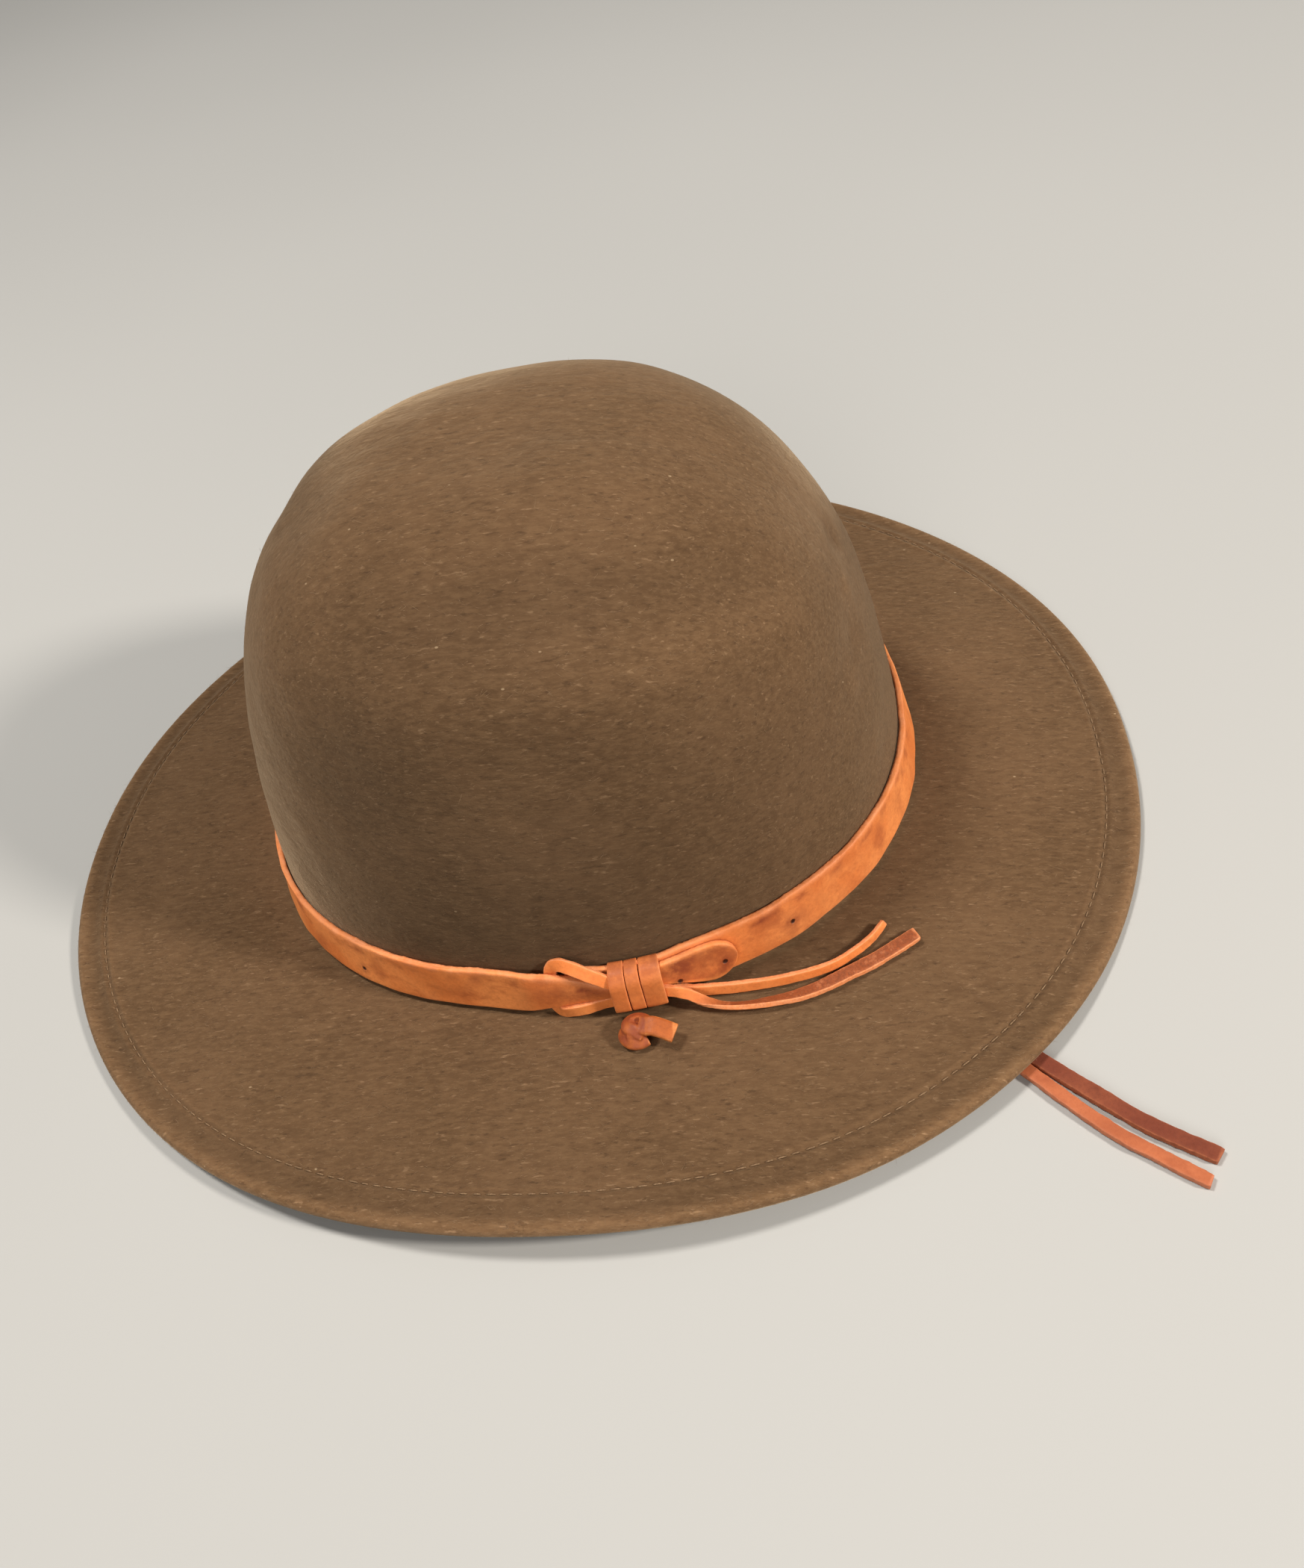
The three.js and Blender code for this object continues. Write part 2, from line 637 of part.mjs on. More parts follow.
// The sleeve that holds the two chin laces together under the hat
const SLIDE = { x: 74, y: -50, turn: -50, length: 12, wall: 1.4, clear: GAP, apart: 0.5 };

function chinSlide() {
  const half = LACE.width + SLIDE.apart / 2 + SLIDE.clear;
  const depth = LACE.thickness + 2 * SLIDE.clear;
  const outline = (w, low, high) => [
    new THREE.Vector2(-w, low),
    new THREE.Vector2(w, low),
    new THREE.Vector2(w, high),
    new THREE.Vector2(-w, high),
  ];
  const shape = new THREE.Shape(outline(half + SLIDE.wall, 0, depth + 2 * SLIDE.wall));
  shape.holes.push(new THREE.Path(outline(half, SLIDE.wall, SLIDE.wall + depth).reverse()));
  const sleeve = new THREE.ExtrudeGeometry(shape, { depth: SLIDE.length, bevelEnabled: false });
  sleeve.translate(0, 0, -SLIDE.length / 2);
  sleeve.rotateX(Math.PI / 2);
  sleeve.rotateZ(rad(SLIDE.turn + 90));
  return meshOf('chin_slide', sleeve.translate(SLIDE.x, SLIDE.y, 0), burnished);
}

// The knot that keeps a chin lace from slipping through the brim, its stub, and its stem through the hole
const KNOT = {
  bodies: [
    { x: 0.2, y: -2.2, z: 3.4, halfX: 4.6, halfY: 3.6, halfZ: 2.9 },
    { x: -0.8, y: 1.8, z: 3.6, halfX: 4.2, halfY: 3.9, halfZ: 3.1 },
  ],
  stub: { length: 11.5, width: 5.0, thickness: 2.4, x: 7.4, y: -0.9, z: 4.6, rise: 6 },
  stem: { radius: 1.5, below: 1.2 },
};

function brimKnot(name, side) {
  let solid = null;
  const join = (geometry) => {
    const next = solidOf(geometry.translate(0, 0, BRIM_AT_HOLE.top + GAP));
    solid = solid ? solid.add(next) : next;
  };
  for (const body of KNOT.bodies) {
    const lobe = new THREE.SphereGeometry(1, 12, 8).scale(body.halfX, body.halfY, body.halfZ);
    join(lobe.translate(body.x, body.y, body.z));
  }
  const { stub, stem } = KNOT;
  const end = new THREE.BoxGeometry(stub.length, stub.width, stub.thickness);
  join(end.rotateY(-rad(stub.rise)).translate(stub.x, stub.y, stub.z));
  const bottom = BRIM_AT_HOLE.under - stem.below - BRIM_AT_HOLE.top - GAP;
  const length = 3 - bottom;
  const post = new THREE.CylinderGeometry(stem.radius, stem.radius, length, 8);
  join(post.rotateX(Math.PI / 2).translate(0, 0, bottom + length / 2));
  const placed = geometryOf(solid).translate(LACE_HOLE.x, side * LACE_HOLE.y, 0);
  return meshOf(name, placed, burnished);
}

const hat = new THREE.Group();
hat.add(feltBody());
hat.add(hatBand());
hat.add(bandKeeper());
hat.add(bowLoop());
hat.add(laceAlong('bow_tail_upper', BOW_TAIL_UPPER, vec(0.24, -0.97, 0), THONG, 3.8));
hat.add(laceAlong('bow_tail_lower', BOW_TAIL_LOWER, vec(0.24, -0.97, 0), THONG, 3.8));
hat.add(brimKnot('brim_knot_left', -1));
hat.add(brimKnot('brim_knot_right', 1));
hat.add(laceAlong('chin_lace_left', CHIN_LACE_LEFT, vec(0, 1, 0), LACE, 7));
hat.add(laceAlong('chin_lace_right', CHIN_LACE_RIGHT, vec(0, -1, 0), LACE, 7));
hat.add(chinSlide());

export default hat;
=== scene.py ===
import math

import bmesh
import bpy
import numpy as np
from mathutils import Matrix, Vector


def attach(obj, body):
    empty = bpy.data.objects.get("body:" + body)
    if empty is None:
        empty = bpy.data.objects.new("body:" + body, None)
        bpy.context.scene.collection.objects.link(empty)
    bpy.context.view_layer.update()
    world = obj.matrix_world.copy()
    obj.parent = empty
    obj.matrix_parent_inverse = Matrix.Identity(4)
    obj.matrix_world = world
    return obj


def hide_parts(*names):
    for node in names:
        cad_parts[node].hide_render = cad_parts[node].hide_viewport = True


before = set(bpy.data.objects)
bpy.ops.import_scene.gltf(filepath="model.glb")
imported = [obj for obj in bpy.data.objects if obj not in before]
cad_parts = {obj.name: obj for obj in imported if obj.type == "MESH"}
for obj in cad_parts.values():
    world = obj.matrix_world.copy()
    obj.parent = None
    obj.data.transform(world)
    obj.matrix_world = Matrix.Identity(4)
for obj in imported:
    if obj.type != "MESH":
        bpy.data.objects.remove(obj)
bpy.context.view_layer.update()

MM = 0.001
SCENE = bpy.context.scene

# The camera, as measured from the photograph (millimetres, in the shared frame)
CAMERA = {
    "at": (89.79, -286.56, 316.93),
    "right": (0.9834, 0.0337, -0.1783),
    "up": (0.0943, 0.7445, 0.6609),
    "back": (0.1550, -0.6667, 0.7290),
    "focal_px": 1748.0,
    "long_side_px": 2100.0,
}


def make_camera():
    data = bpy.data.cameras.new("camera")
    data.sensor_fit = "AUTO"
    data.sensor_width = 36.0
    data.lens = CAMERA["focal_px"] / CAMERA["long_side_px"] * 36.0
    data.clip_start, data.clip_end = 0.01, 50.0
    camera = bpy.data.objects.new("camera", data)
    SCENE.collection.objects.link(camera)
    axes = Matrix((CAMERA["right"], CAMERA["up"], CAMERA["back"])).transposed()
    camera.matrix_world = Matrix.Translation(Vector(CAMERA["at"]) * MM) @ axes.to_4x4()
    SCENE.camera = camera


make_camera()

# Driving sizes, in millimetres
FELT = 2.2
STRAP = 1.7
THONG = (3.8, 1.6)
LACE = (4.4, 2.0)
BRIM = {
    "half_length": 174.4,
    "half_width": 154.5,
    "roundness": 2.12,
    "back_widening": 0.022,
    "edge_height": 4.5,
    "side_lift": 4.0,
    "corner_drop": 2.1,
    "swell": 0.3,
    "foot_radius": 1.2,
}
LACE_LIFT = {"angle": -44, "spread": 22, "height": 2.9}
CROWN = {
    "half_length": 102.9,
    "half_width": 86.1,
    "roundness": 2.16,
    "centre": 3.9,
    "top": 140.3,
    "top_shift": 6.5,
    "flare": 1.1,
    "flare_share": 0.08,
}
BAND = {
    "width": 15.8,
    "above_foot": 1.5,
    "clear": 0.4,
    "height": 10.9,
    "rise": 3.3,
    "ends": 0.7,
}
CROWN_SIDES = {
    "front": {"taper": 0.135, "wall": 3.28, "shoulder": 3.73},
    "back": {"taper": 0.185, "wall": 4.28, "shoulder": 2.26},
    "flank": {"taper": 0.095, "wall": 2.64, "shoulder": 3.75},
}
# Dents in the crown: middle, half size along X and across it, depth (a swelling is below zero)
DENTS = [
    (21, -46, 133, 58, 26, 4.0),
    (5, -64, 110, 62, 15, -1.4),
    (-50, -10, 131, 14, 20, 1.8),
    (92, -26, 76, 12, 16, 1.6),
    (10, 80, 72, 50, 24, 1.5),
]


# Numbers and fields


def mix(a, b, share):
    return a + (b - a) * share


def smooth(share):
    share = np.clip(share, 0.0, 1.0)
    return share * share * (3 - 2 * share)


def unit(v):
    return v / np.maximum(np.linalg.norm(v, axis=-1, keepdims=True), 1e-12)


def ripple(points, size, seed):
    """A smooth irregular field, about -1 to 1, with features of that size in millimetres."""
    rng = np.random.default_rng(seed)
    total = np.zeros(points.shape[:-1])
    for _ in range(9):
        direction = unit(rng.normal(size=3))
        pace = 2 * math.pi / size * rng.uniform(0.6, 1.5)
        total += np.sin(points @ direction * pace + rng.uniform(0, 2 * math.pi))
    return total / 3.0


def oval(angle, half_length, half_width, roundness, widening=0.0):
    c, s = np.cos(angle), np.sin(angle)
    k = (np.abs(c) ** roundness + np.abs(s) ** roundness) ** (-1 / roundness)
    return half_length * c * k, half_width * s * k * (1 + widening * c)


# The hat's surfaces, by angle around it in radians


def foot_height(angle):
    band = BAND["height"] + BAND["rise"] * np.cos(angle) + BAND["ends"] * np.cos(2 * angle)
    return band - BAND["above_foot"]


def edge_height(angle):
    waves = BRIM["corner_drop"] * np.cos(4 * angle) - BRIM["side_lift"] * np.cos(2 * angle)
    away = np.abs(angle - math.radians(LACE_LIFT["angle"])) / math.radians(LACE_LIFT["spread"])
    return BRIM["edge_height"] + waves + LACE_LIFT["height"] * smooth(1 - np.minimum(away, 1))


def crown_closing(angle, share):
    c = np.cos(angle)

    def blend(key):
        ends = np.where(c < 0, CROWN_SIDES["front"][key], CROWN_SIDES["back"][key])
        return ends * c * c + CROWN_SIDES["flank"][key] * (1 - c * c)

    closing = np.maximum(0, 1 - share ** blend("wall")) ** (1 / blend("shoulder"))
    return (1 - blend("taper") * share) * closing


def crown_point(angle, share):
    angle, share = np.broadcast_arrays(np.asarray(angle, float), np.asarray(share, float))
    flare = CROWN["flare"] * (1 - np.exp(-share / CROWN["flare_share"]))
    x, y = oval(
        angle, CROWN["half_length"] - flare, CROWN["half_width"] - flare, CROWN["roundness"]
    )
    k = crown_closing(angle, share)
    z = mix(foot_height(angle), CROWN["top"], share)
    point = np.stack([CROWN["centre"] + x * k + CROWN["top_shift"] * share**1.5, y * k, z], -1)
    inward = unit(np.array([CROWN["centre"], 0, CROWN["top"] * 0.35]) - point)
    for x0, y0, z0, along, across, depth in DENTS:
        away = (point - (x0, y0, z0)) / (along, across, across)
        point = point + inward * (depth * np.exp(-(away**2).sum(-1)))[..., None]
    return point


def brim_point(angle, share):
    angle, share = np.broadcast_arrays(np.asarray(angle, float), np.asarray(share, float))
    r = BRIM["foot_radius"]
    ix, iy = oval(
        angle, CROWN["half_length"] + r, CROWN["half_width"] + r, CROWN["roundness"]
    )
    ox, oy = oval(
        angle,
        BRIM["half_length"] - FELT,
        BRIM["half_width"] - FELT,
        BRIM["roundness"],
        BRIM["back_widening"],
    )
    rise = BRIM["swell"] * 4 * share * (1 - share)
    z = mix(foot_height(angle), edge_height(angle) + FELT, share) + rise
    return np.stack([mix(ix + CROWN["centre"], ox, share), mix(iy, oy, share), z], -1)


def seat_frame(degrees, height):
    """Place, outward and upward direction on the crown's wall behind the band."""
    a = np.radians(np.asarray(degrees, float))
    height = np.asarray(height, float)
    a, height = np.broadcast_arrays(a, height)

    def wall(turn, h):
        share = (BAND["above_foot"] + h) / (CROWN["top"] - foot_height(turn))
        return crown_point(turn, np.maximum(share, 0))

    along = unit(wall(a + 0.02, height) - wall(a - 0.02, height))
    low = np.maximum(height, -1)
    up = unit(wall(a, low + 1) - wall(a, low))
    return wall(a, height), unit(np.cross(along, up)), up


def seat(degrees, height, out):
    point, outward, _ = seat_frame(degrees, height)
    return point + outward * (BAND["clear"] + np.asarray(out, float))[..., None]


# Mesh making


def add_values(mesh, values):
    """Stores one number per vertex under each name, for the materials."""
    for key, numbers in values.items():
        attribute = mesh.attributes.new(key, "FLOAT", "POINT")
        attribute.data.foreach_set("value", np.asarray(numbers, np.float32))


def add_object(name, points, faces, look, values=None):
    """A smooth mesh from points in millimetres."""
    mesh = bpy.data.meshes.new(name)
    mesh.from_pydata((np.asarray(points) * MM).tolist(), [], [list(f) for f in faces])
    mesh.materials.append(look)
    add_values(mesh, values or {})
    mesh.polygons.foreach_set("use_smooth", np.ones(len(mesh.polygons), bool))
    work = bmesh.new()
    work.from_mesh(mesh)
    bmesh.ops.recalc_face_normals(work, faces=work.faces)
    work.to_mesh(mesh)
    work.free()
    mesh.update()
    piece = bpy.data.objects.new(name, mesh)
    SCENE.collection.objects.link(piece)
    return piece


def grid_faces(rows, columns, wrap_rows=False, wrap_columns=True):
    i = np.arange(rows if wrap_rows else rows - 1)[:, None]
    j = np.arange(columns if wrap_columns else columns - 1)[None, :]
    a = i * columns + j
    b = i * columns + (j + 1) % columns
    c = (i + 1) % rows * columns + (j + 1) % columns
    d = (i + 1) % rows * columns + j
    return np.stack([a, b, c, d], -1).reshape(-1, 4)


def tube_faces(rows, columns, first=0):
    """The faces around a section along its rows, and both ends; first is its first vertex."""
    faces = (first + grid_faces(rows, columns)).tolist()
    faces.append([first + j for j in range(columns)])
    faces.append([first + (rows - 1) * columns + j for j in range(columns)])
    return faces


def place(piece, node):
    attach(piece, "root")
    if node:
        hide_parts(node)
    return piece


# Flat thongs and laces


def smooth_line(points, count):
    """Points evenly along a centripetal Catmull-Rom line, and each one's place in the table."""
    p = np.asarray(points, float)
    p = np.vstack([2 * p[0] - p[1], p, 2 * p[-1] - p[-2]])
    knots = np.concatenate([[0], np.cumsum(np.linalg.norm(np.diff(p, axis=0), axis=1) ** 0.5)])
    fine, places = [], []
    for i in range(1, len(p) - 2):
        t0, t1, t2, t3 = knots[i - 1 : i + 3]
        share = np.linspace(0, 1, 40, endpoint=i == len(p) - 3)
        t = mix(t1, t2, share)[:, None]
        a1 = (t1 - t) / (t1 - t0) * p[i - 1] + (t - t0) / (t1 - t0) * p[i]
        a2 = (t2 - t) / (t2 - t1) * p[i] + (t - t1) / (t2 - t1) * p[i + 1]
        a3 = (t3 - t) / (t3 - t2) * p[i + 1] + (t - t2) / (t3 - t2) * p[i + 2]
        b1 = (t2 - t) / (t2 - t0) * a1 + (t - t0) / (t2 - t0) * a2
        b2 = (t3 - t) / (t3 - t1) * a2 + (t - t1) / (t3 - t1) * a3
        fine.append((t2 - t) / (t2 - t1) * b1 + (t - t1) / (t2 - t1) * b2)
        places.append(i - 1 + share)
    fine, places = np.vstack(fine), np.concatenate(places)
    run = np.concatenate([[0], np.cumsum(np.linalg.norm(np.diff(fine, axis=0), axis=1))])
    even = np.linspace(0, run[-1], count or int(run[-1] / 0.8) + 2)
    line = np.stack([np.interp(even, run, fine[:, k]) for k in range(3)], -1)
    return line, np.interp(even, run, places), run[-1]


def ribbon_section(width, thickness, corner):
    """Around a flat section: place across, place along the face's normal, flesh and edge share."""
    w, t = width / 2, thickness / 2
    corner = min(corner, t * 0.95)
    across, out = [], []
    for sx, sz, start in ((1, 1, 0), (-1, 1, 90), (-1, -1, 180), (1, -1, 270)):
        for turn in (0, 22.5, 45, 67.5, 90):
            a = math.radians(start + turn)
            across.append(sx * (w - corner) + corner * math.cos(a))
            out.append(sz * (t - corner) + corner * math.sin(a))
        if sx * sz > 0:
            for share in (0.2, 0.4, 0.6, 0.8):
                across.append(sx * (w - corner) * (1 - 2 * share))
                out.append(sz * t)
    across, out = np.array(across), np.array(out)
    flesh = (out < -t * 0.55).astype(float)
    edge = smooth((np.abs(across) - (w - corner * 1.2)) / (corner * 1.0))
    return across, out, flesh, edge


def eased(values, rounds):
    """The rows of values, softened along their length, with both ends kept."""
    values = values.copy()
    for _ in range(rounds):
        values[1:-1] = (values[:-2] + 2 * values[1:-1] + values[2:]) / 4
    return values


def squared(line, facing):
    """Along each point of a line: its direction, its face's normal and the way across it."""
    tangent = unit(np.gradient(line, axis=0))
    normal = unit(facing - tangent * (facing * tangent).sum(-1, keepdims=True))
    return tangent, normal, np.cross(normal, tangent)


def ribbon(name, rows, facing, size, look, seed, widths=None, turned=None):
    """A flat strip along the rows' smooth line.

    facing gives where its grain side looks, widths its share of the full width at each row and
    turned the share of flesh side that shows on its upper face.
    """
    width, thickness = size
    line, places, length = smooth_line(rows, None)

    def along_line(table):
        return np.interp(places, range(len(rows)), np.asarray(table, float))

    normals = eased(np.stack([along_line(facing[:, k]) for k in range(3)], -1), 12)
    tangent, normal, side = squared(line, normals)
    across, out, flesh, edge = ribbon_section(width, thickness, 0.34)
    run = np.linspace(0, length, len(line))
    ends = np.minimum(run, length - run)
    fit = np.where(ends < 0.5, 0.90 + 0.2 * ends, 1.0)
    if widths is not None:
        fit = fit * eased(along_line(widths), 6)
    points = (
        line[:, None]
        + side[:, None] * (across[None, :] * fit[:, None])[..., None]
        + normal[:, None] * (out[None, :] * np.minimum(fit * 1.2, 1)[:, None])[..., None]
    )
    rough = ripple(points, 2.2, seed) * 0.07 * edge[None, :] + ripple(points, 9.0, seed + 1) * 0.06
    points = points + side[:, None] * (rough * np.sign(across)[None, :])[..., None]
    bow = ripple(line, 14.0, seed + 2) * 0.12
    points = points + normal[:, None] * bow[:, None, None]
    slant = 0.35 * across / width * (1 if seed % 2 else -1)
    points[-1] = points[-1] + tangent[-1] * slant[:, None]
    points[..., 2] = np.maximum(points[..., 2], 0.0)
    flesh = np.tile(flesh, (len(line), 1))
    if turned is not None:
        flesh = mix(flesh, 1 - flesh, eased(along_line(turned), 4)[:, None])
    edge = np.tile(edge, (len(line), 1))
    edge[[0, -1]] = 1.0
    values = {"flesh": flesh.reshape(-1), "edge": edge.reshape(-1)}
    faces = tube_faces(len(line), len(across))
    piece = add_object(name, points.reshape(-1, 3), faces, look, values)
    return piece, line, length


# Materials


def srgb(r, g, b):
    def linear(v):
        v /= 255
        return v / 12.92 if v <= 0.04045 else ((v + 0.055) / 1.055) ** 2.4

    return (linear(r), linear(g), linear(b), 1.0)


class Look:
    """A node material under construction."""

    def __init__(self, name):
        self.material = bpy.data.materials.new(name)
        self.material.use_nodes = True
        self.nodes = self.material.node_tree.nodes
        self.links = self.material.node_tree.links
        self.nodes.clear()
        self.output = self.nodes.new("ShaderNodeOutputMaterial")
        self.shader = self.nodes.new("ShaderNodeBsdfPrincipled")
        self.link(self.shader.outputs[0], self.output.inputs["Surface"])
        self.place = self.nodes.new("ShaderNodeTexCoord").outputs["Object"]

    def link(self, source, target):
        if isinstance(source, (int, float, tuple)):
            target.default_value = source
        else:
            self.links.new(source, target)

    def set(self, **values):
        for key, value in values.items():
            self.link(value, self.shader.inputs[key.replace("_", " ").title()])

    def stretched(self, scale):
        node = self.nodes.new("ShaderNodeMapping")
        node.inputs["Scale"].default_value = scale
        self.link(self.place, node.inputs["Vector"])
        return node.outputs[0]

    def noise(self, scale, detail=2.0, roughness=0.5, vector=None):
        node = self.nodes.new("ShaderNodeTexNoise")
        self.link(vector or self.place, node.inputs["Vector"])
        node.inputs["Scale"].default_value = scale
        node.inputs["Detail"].default_value = detail
        node.inputs["Roughness"].default_value = roughness
        return node.outputs["Fac"]

    def cells(self, scale, vector=None):
        node = self.nodes.new("ShaderNodeTexVoronoi")
        self.link(vector or self.place, node.inputs["Vector"])
        node.inputs["Scale"].default_value = scale
        return node.outputs["Distance"]

    def value(self, name):
        node = self.nodes.new("ShaderNodeAttribute")
        node.attribute_name = name
        return node.outputs["Fac"]

    def value_colour(self, name):
        node = self.nodes.new("ShaderNodeAttribute")
        node.attribute_name = name
        return node.outputs["Color"]

    def ramp(self, source, low, high, to_low=0.0, to_high=1.0):
        node = self.nodes.new("ShaderNodeMapRange")
        node.interpolation_type = "SMOOTHSTEP"
        self.link(source, node.inputs["Value"])
        for key, v in zip(("From Min", "From Max", "To Min", "To Max"), (low, high, to_low, to_high)):
            node.inputs[key].default_value = v
        return node.outputs[0]

    def math(self, operation, a, b=0.5):
        node = self.nodes.new("ShaderNodeMath")
        node.operation = operation
        self.link(a, node.inputs[0])
        self.link(b, node.inputs[1])
        return node.outputs[0]

    def blend(self, share, a, b, mode="MIX"):
        node = self.nodes.new("ShaderNodeMix")
        node.data_type = "RGBA"
        node.blend_type = mode
        self.link(share, node.inputs["Factor"])
        # Sockets 6 and 7 are the two colours, and output 2 the mixed one
        self.link(a, node.inputs[6])
        self.link(b, node.inputs[7])
        return node.outputs[2]

    def spot(self, at, radius, reach):
        """1 within radius of a point given in millimetres, fading to 0 at reach."""
        node = self.nodes.new("ShaderNodeVectorMath")
        node.operation = "DISTANCE"
        self.link(self.place, node.inputs[0])
        node.inputs[1].default_value = [v * MM for v in at]
        return self.ramp(node.outputs["Value"], radius * MM, reach * MM, 1.0, 0.0)

    def bump(self, *layers):
        """Layers are (height, strength, depth in metres), stacked in that order."""
        normal = None
        for height, strength, depth in layers:
            node = self.nodes.new("ShaderNodeBump")
            node.inputs["Strength"].default_value = strength
            node.inputs["Distance"].default_value = depth
            self.link(height, node.inputs["Height"])
            if normal is not None:
                self.link(normal, node.inputs["Normal"])
            normal = node.outputs[0]
        self.link(normal, self.shader.inputs["Normal"])


def felt_look():
    look = Look("wool_felt")
    cloud = look.noise(24, 3)
    colour = look.blend(look.ramp(cloud, 0.3, 0.7), srgb(87, 64, 42), srgb(98, 73, 50))
    mottle = look.noise(270, 4, 0.6, look.stretched((0.55, 1.0, 1.0)))
    colour = look.blend(look.ramp(mottle, 0.34, 0.60, 0.34, 0), colour, srgb(74, 53, 34))
    heather = look.noise(800, 5, 0.72, look.stretched((0.32, 1.0, 1.0)))
    colour = look.blend(look.ramp(heather, 0.38, 0.66, 0, 0.5), colour, srgb(114, 88, 62))
    flecks = look.noise(900, 4, 0.65, look.stretched((0.30, 0.9, 1.1)))
    colour = look.blend(look.ramp(flecks, 0.56, 0.70, 0, 0.5), colour, srgb(58, 40, 25))
    light = look.noise(1200, 3, 0.55, look.stretched((0.26, 1.0, 0.9)))
    colour = look.blend(look.ramp(light, 0.60, 0.74, 0, 0.5), colour, srgb(142, 114, 86))
    lint = look.ramp(look.cells(95, vector=look.stretched((0.6, 1.0, 1.0))), 0.018, 0.034, 0.6, 0)
    colour = look.blend(lint, colour, srgb(170, 146, 116))
    # The felt's colour is multiplied by its painted light and shade
    toned = look.blend(1.0, colour, look.value_colour("painted_shading"), "MULTIPLY")
    look.set(base_color=toned, roughness=0.92)
    look.shader.inputs["Specular IOR Level"].default_value = 0.18
    look.shader.inputs["Sheen Weight"].default_value = 0.55
    look.shader.inputs["Sheen Roughness"].default_value = 0.36
    look.shader.inputs["Sheen Tint"].default_value = srgb(222, 198, 164)
    look.bump((mottle, 0.4, 0.0009), (heather, 0.5, 0.0004))
    return look.material


# Burnished leather's colour, also used as painted shade
BURNISH_AND_SHADE_COLOUR = srgb(136, 64, 38)
HOLE_RIM = srgb(132, 62, 34)
HOLE_PAINTED_SHADE = srgb(52, 23, 13)


def leather_look(name, light, mid, dark, flesh, edge, spots=(), roughness=0.52, fuzz=0.5):
    """Leather that reads three values on its mesh: edge, flesh (its rough side) and burnish_and_shade,
    which is burnish with painted shade.
    """
    look = Look(name)
    broad = look.noise(48, 3, 0.55)
    colour = look.blend(look.ramp(broad, 0.34, 0.62), mid, light)
    smudge = look.ramp(look.noise(120, 5, 0.62, look.stretched((0.8, 1.0, 1.4))), 0.50, 0.74, 0, 0.6)
    colour = look.blend(smudge, colour, dark)
    pores = look.ramp(look.cells(1500), 0.10, 0.22, 0.4, 0)
    colour = look.blend(pores, colour, dark)
    grain = look.noise(900, 3, 0.6)
    colour = look.blend(look.ramp(grain, 0.35, 0.75, 0.0, 0.25), colour, dark)
    patches = look.ramp(look.noise(330, 4, 0.65), 0.25, 0.62, 0.55, 1)
    # Burnish and painted shade, broken into patches
    toned = look.math("MULTIPLY", look.value("burnish_and_shade"), patches)
    colour = look.blend(toned, colour, BURNISH_AND_SHADE_COLOUR)
    nap = look.noise(1500, 4, 0.75)
    tufts = look.noise(520, 4, 0.7)
    under = look.blend(look.ramp(nap, 0.35, 0.7, 0, 0.6), flesh, dark)
    under = look.blend(look.ramp(tufts, 0.52, 0.68, 0, fuzz), under, edge)
    colour = look.blend(look.value("flesh"), colour, under)
    rim = look.math("MULTIPLY", look.value("edge"), look.ramp(nap, 0.3, 0.6, 0.55, 1.0))
    fuzzy = look.blend(look.ramp(tufts, 0.35, 0.6), look.blend(0.5, edge, mid), edge)
    colour = look.blend(rim, colour, fuzzy)
    pits = None
    for at, radius, reach in spots:
        blot = look.ramp(tufts, 0.3, 0.6, 0.1, 0.5)
        halo = look.math("MULTIPLY", look.spot(at, reach, reach * 3.2), blot)
        colour = look.blend(halo, colour, HOLE_RIM)
        # Painted shade inside each hole
        pit = look.spot(at, radius, reach)
        colour = look.blend(pit, colour, HOLE_PAINTED_SHADE)
        pits = pit if pits is None else look.math("MAXIMUM", pits, pit)
    gloss = look.ramp(nap, 0.2, 0.8, roughness - 0.06, roughness + 0.12)
    look.set(base_color=colour, roughness=gloss)
    look.shader.inputs["Specular IOR Level"].default_value = 0.32
    layers = [(broad, 0.25, 0.0012), (grain, 0.3, 0.00025), (nap, 0.16, 0.0002)]
    if pits is not None:
        layers.append((look.math("SUBTRACT", 1.0, pits), 0.9, 0.0006))
    look.bump(*layers)
    return look.material


def floor_look():
    look = Look("pale_floor")
    cloud = look.ramp(look.noise(1.4, 2), 0.3, 0.7)
    colour = look.blend(cloud, (0.425, 0.425, 0.415, 1), (0.45, 0.45, 0.44, 1))
    look.set(base_color=colour, roughness=0.85)
    return look.material


ORANGE = {
    "light": srgb(243, 150, 82),
    "mid": srgb(227, 128, 63),
    "dark": srgb(168, 84, 40),
    "flesh": srgb(150, 72, 48),
    "edge": srgb(232, 150, 102),
}
# The strap's small holes: angle, share of its width, distance out, radius of the painted shade inside,
# and the reach of the dark halo around it
STRAP_HOLES = [
    (-126.5, 0.30, STRAP, 0.35, 0.95),
    (-52.6, 0.39, STRAP, 0.4, 1.0),
    (-64.9, 0.38, 2.0 + STRAP, 0.45, 0.95),
    (-72.2, 0.33, 2.8 + STRAP, 0.4, 0.95),
]
STRAP_SPOTS = [
    (tuple(seat(angle, share * BAND["width"], out)), radius, reach)
    for angle, share, out, radius, reach in STRAP_HOLES
]
FELT_LOOK = felt_look()
BAND_LOOK = leather_look("band_leather", spots=STRAP_SPOTS, **ORANGE)
THONG_LOOK = leather_look("thong_leather", fuzz=0.22, **{**ORANGE, "flesh": srgb(124, 65, 36)})
LACE_LOOK = leather_look(
    "lace_leather",
    light=srgb(184, 104, 66),
    mid=srgb(166, 90, 56),
    dark=srgb(146, 72, 42),
    flesh=srgb(122, 58, 40),
    edge=srgb(190, 114, 78),
)
KNOT_LOOK = leather_look(
    "knot_leather",
    light=srgb(184, 98, 43),
    mid=srgb(162, 83, 35),
    dark=srgb(112, 52, 25),
    flesh=srgb(150, 72, 48),
    edge=srgb(206, 128, 70),
)
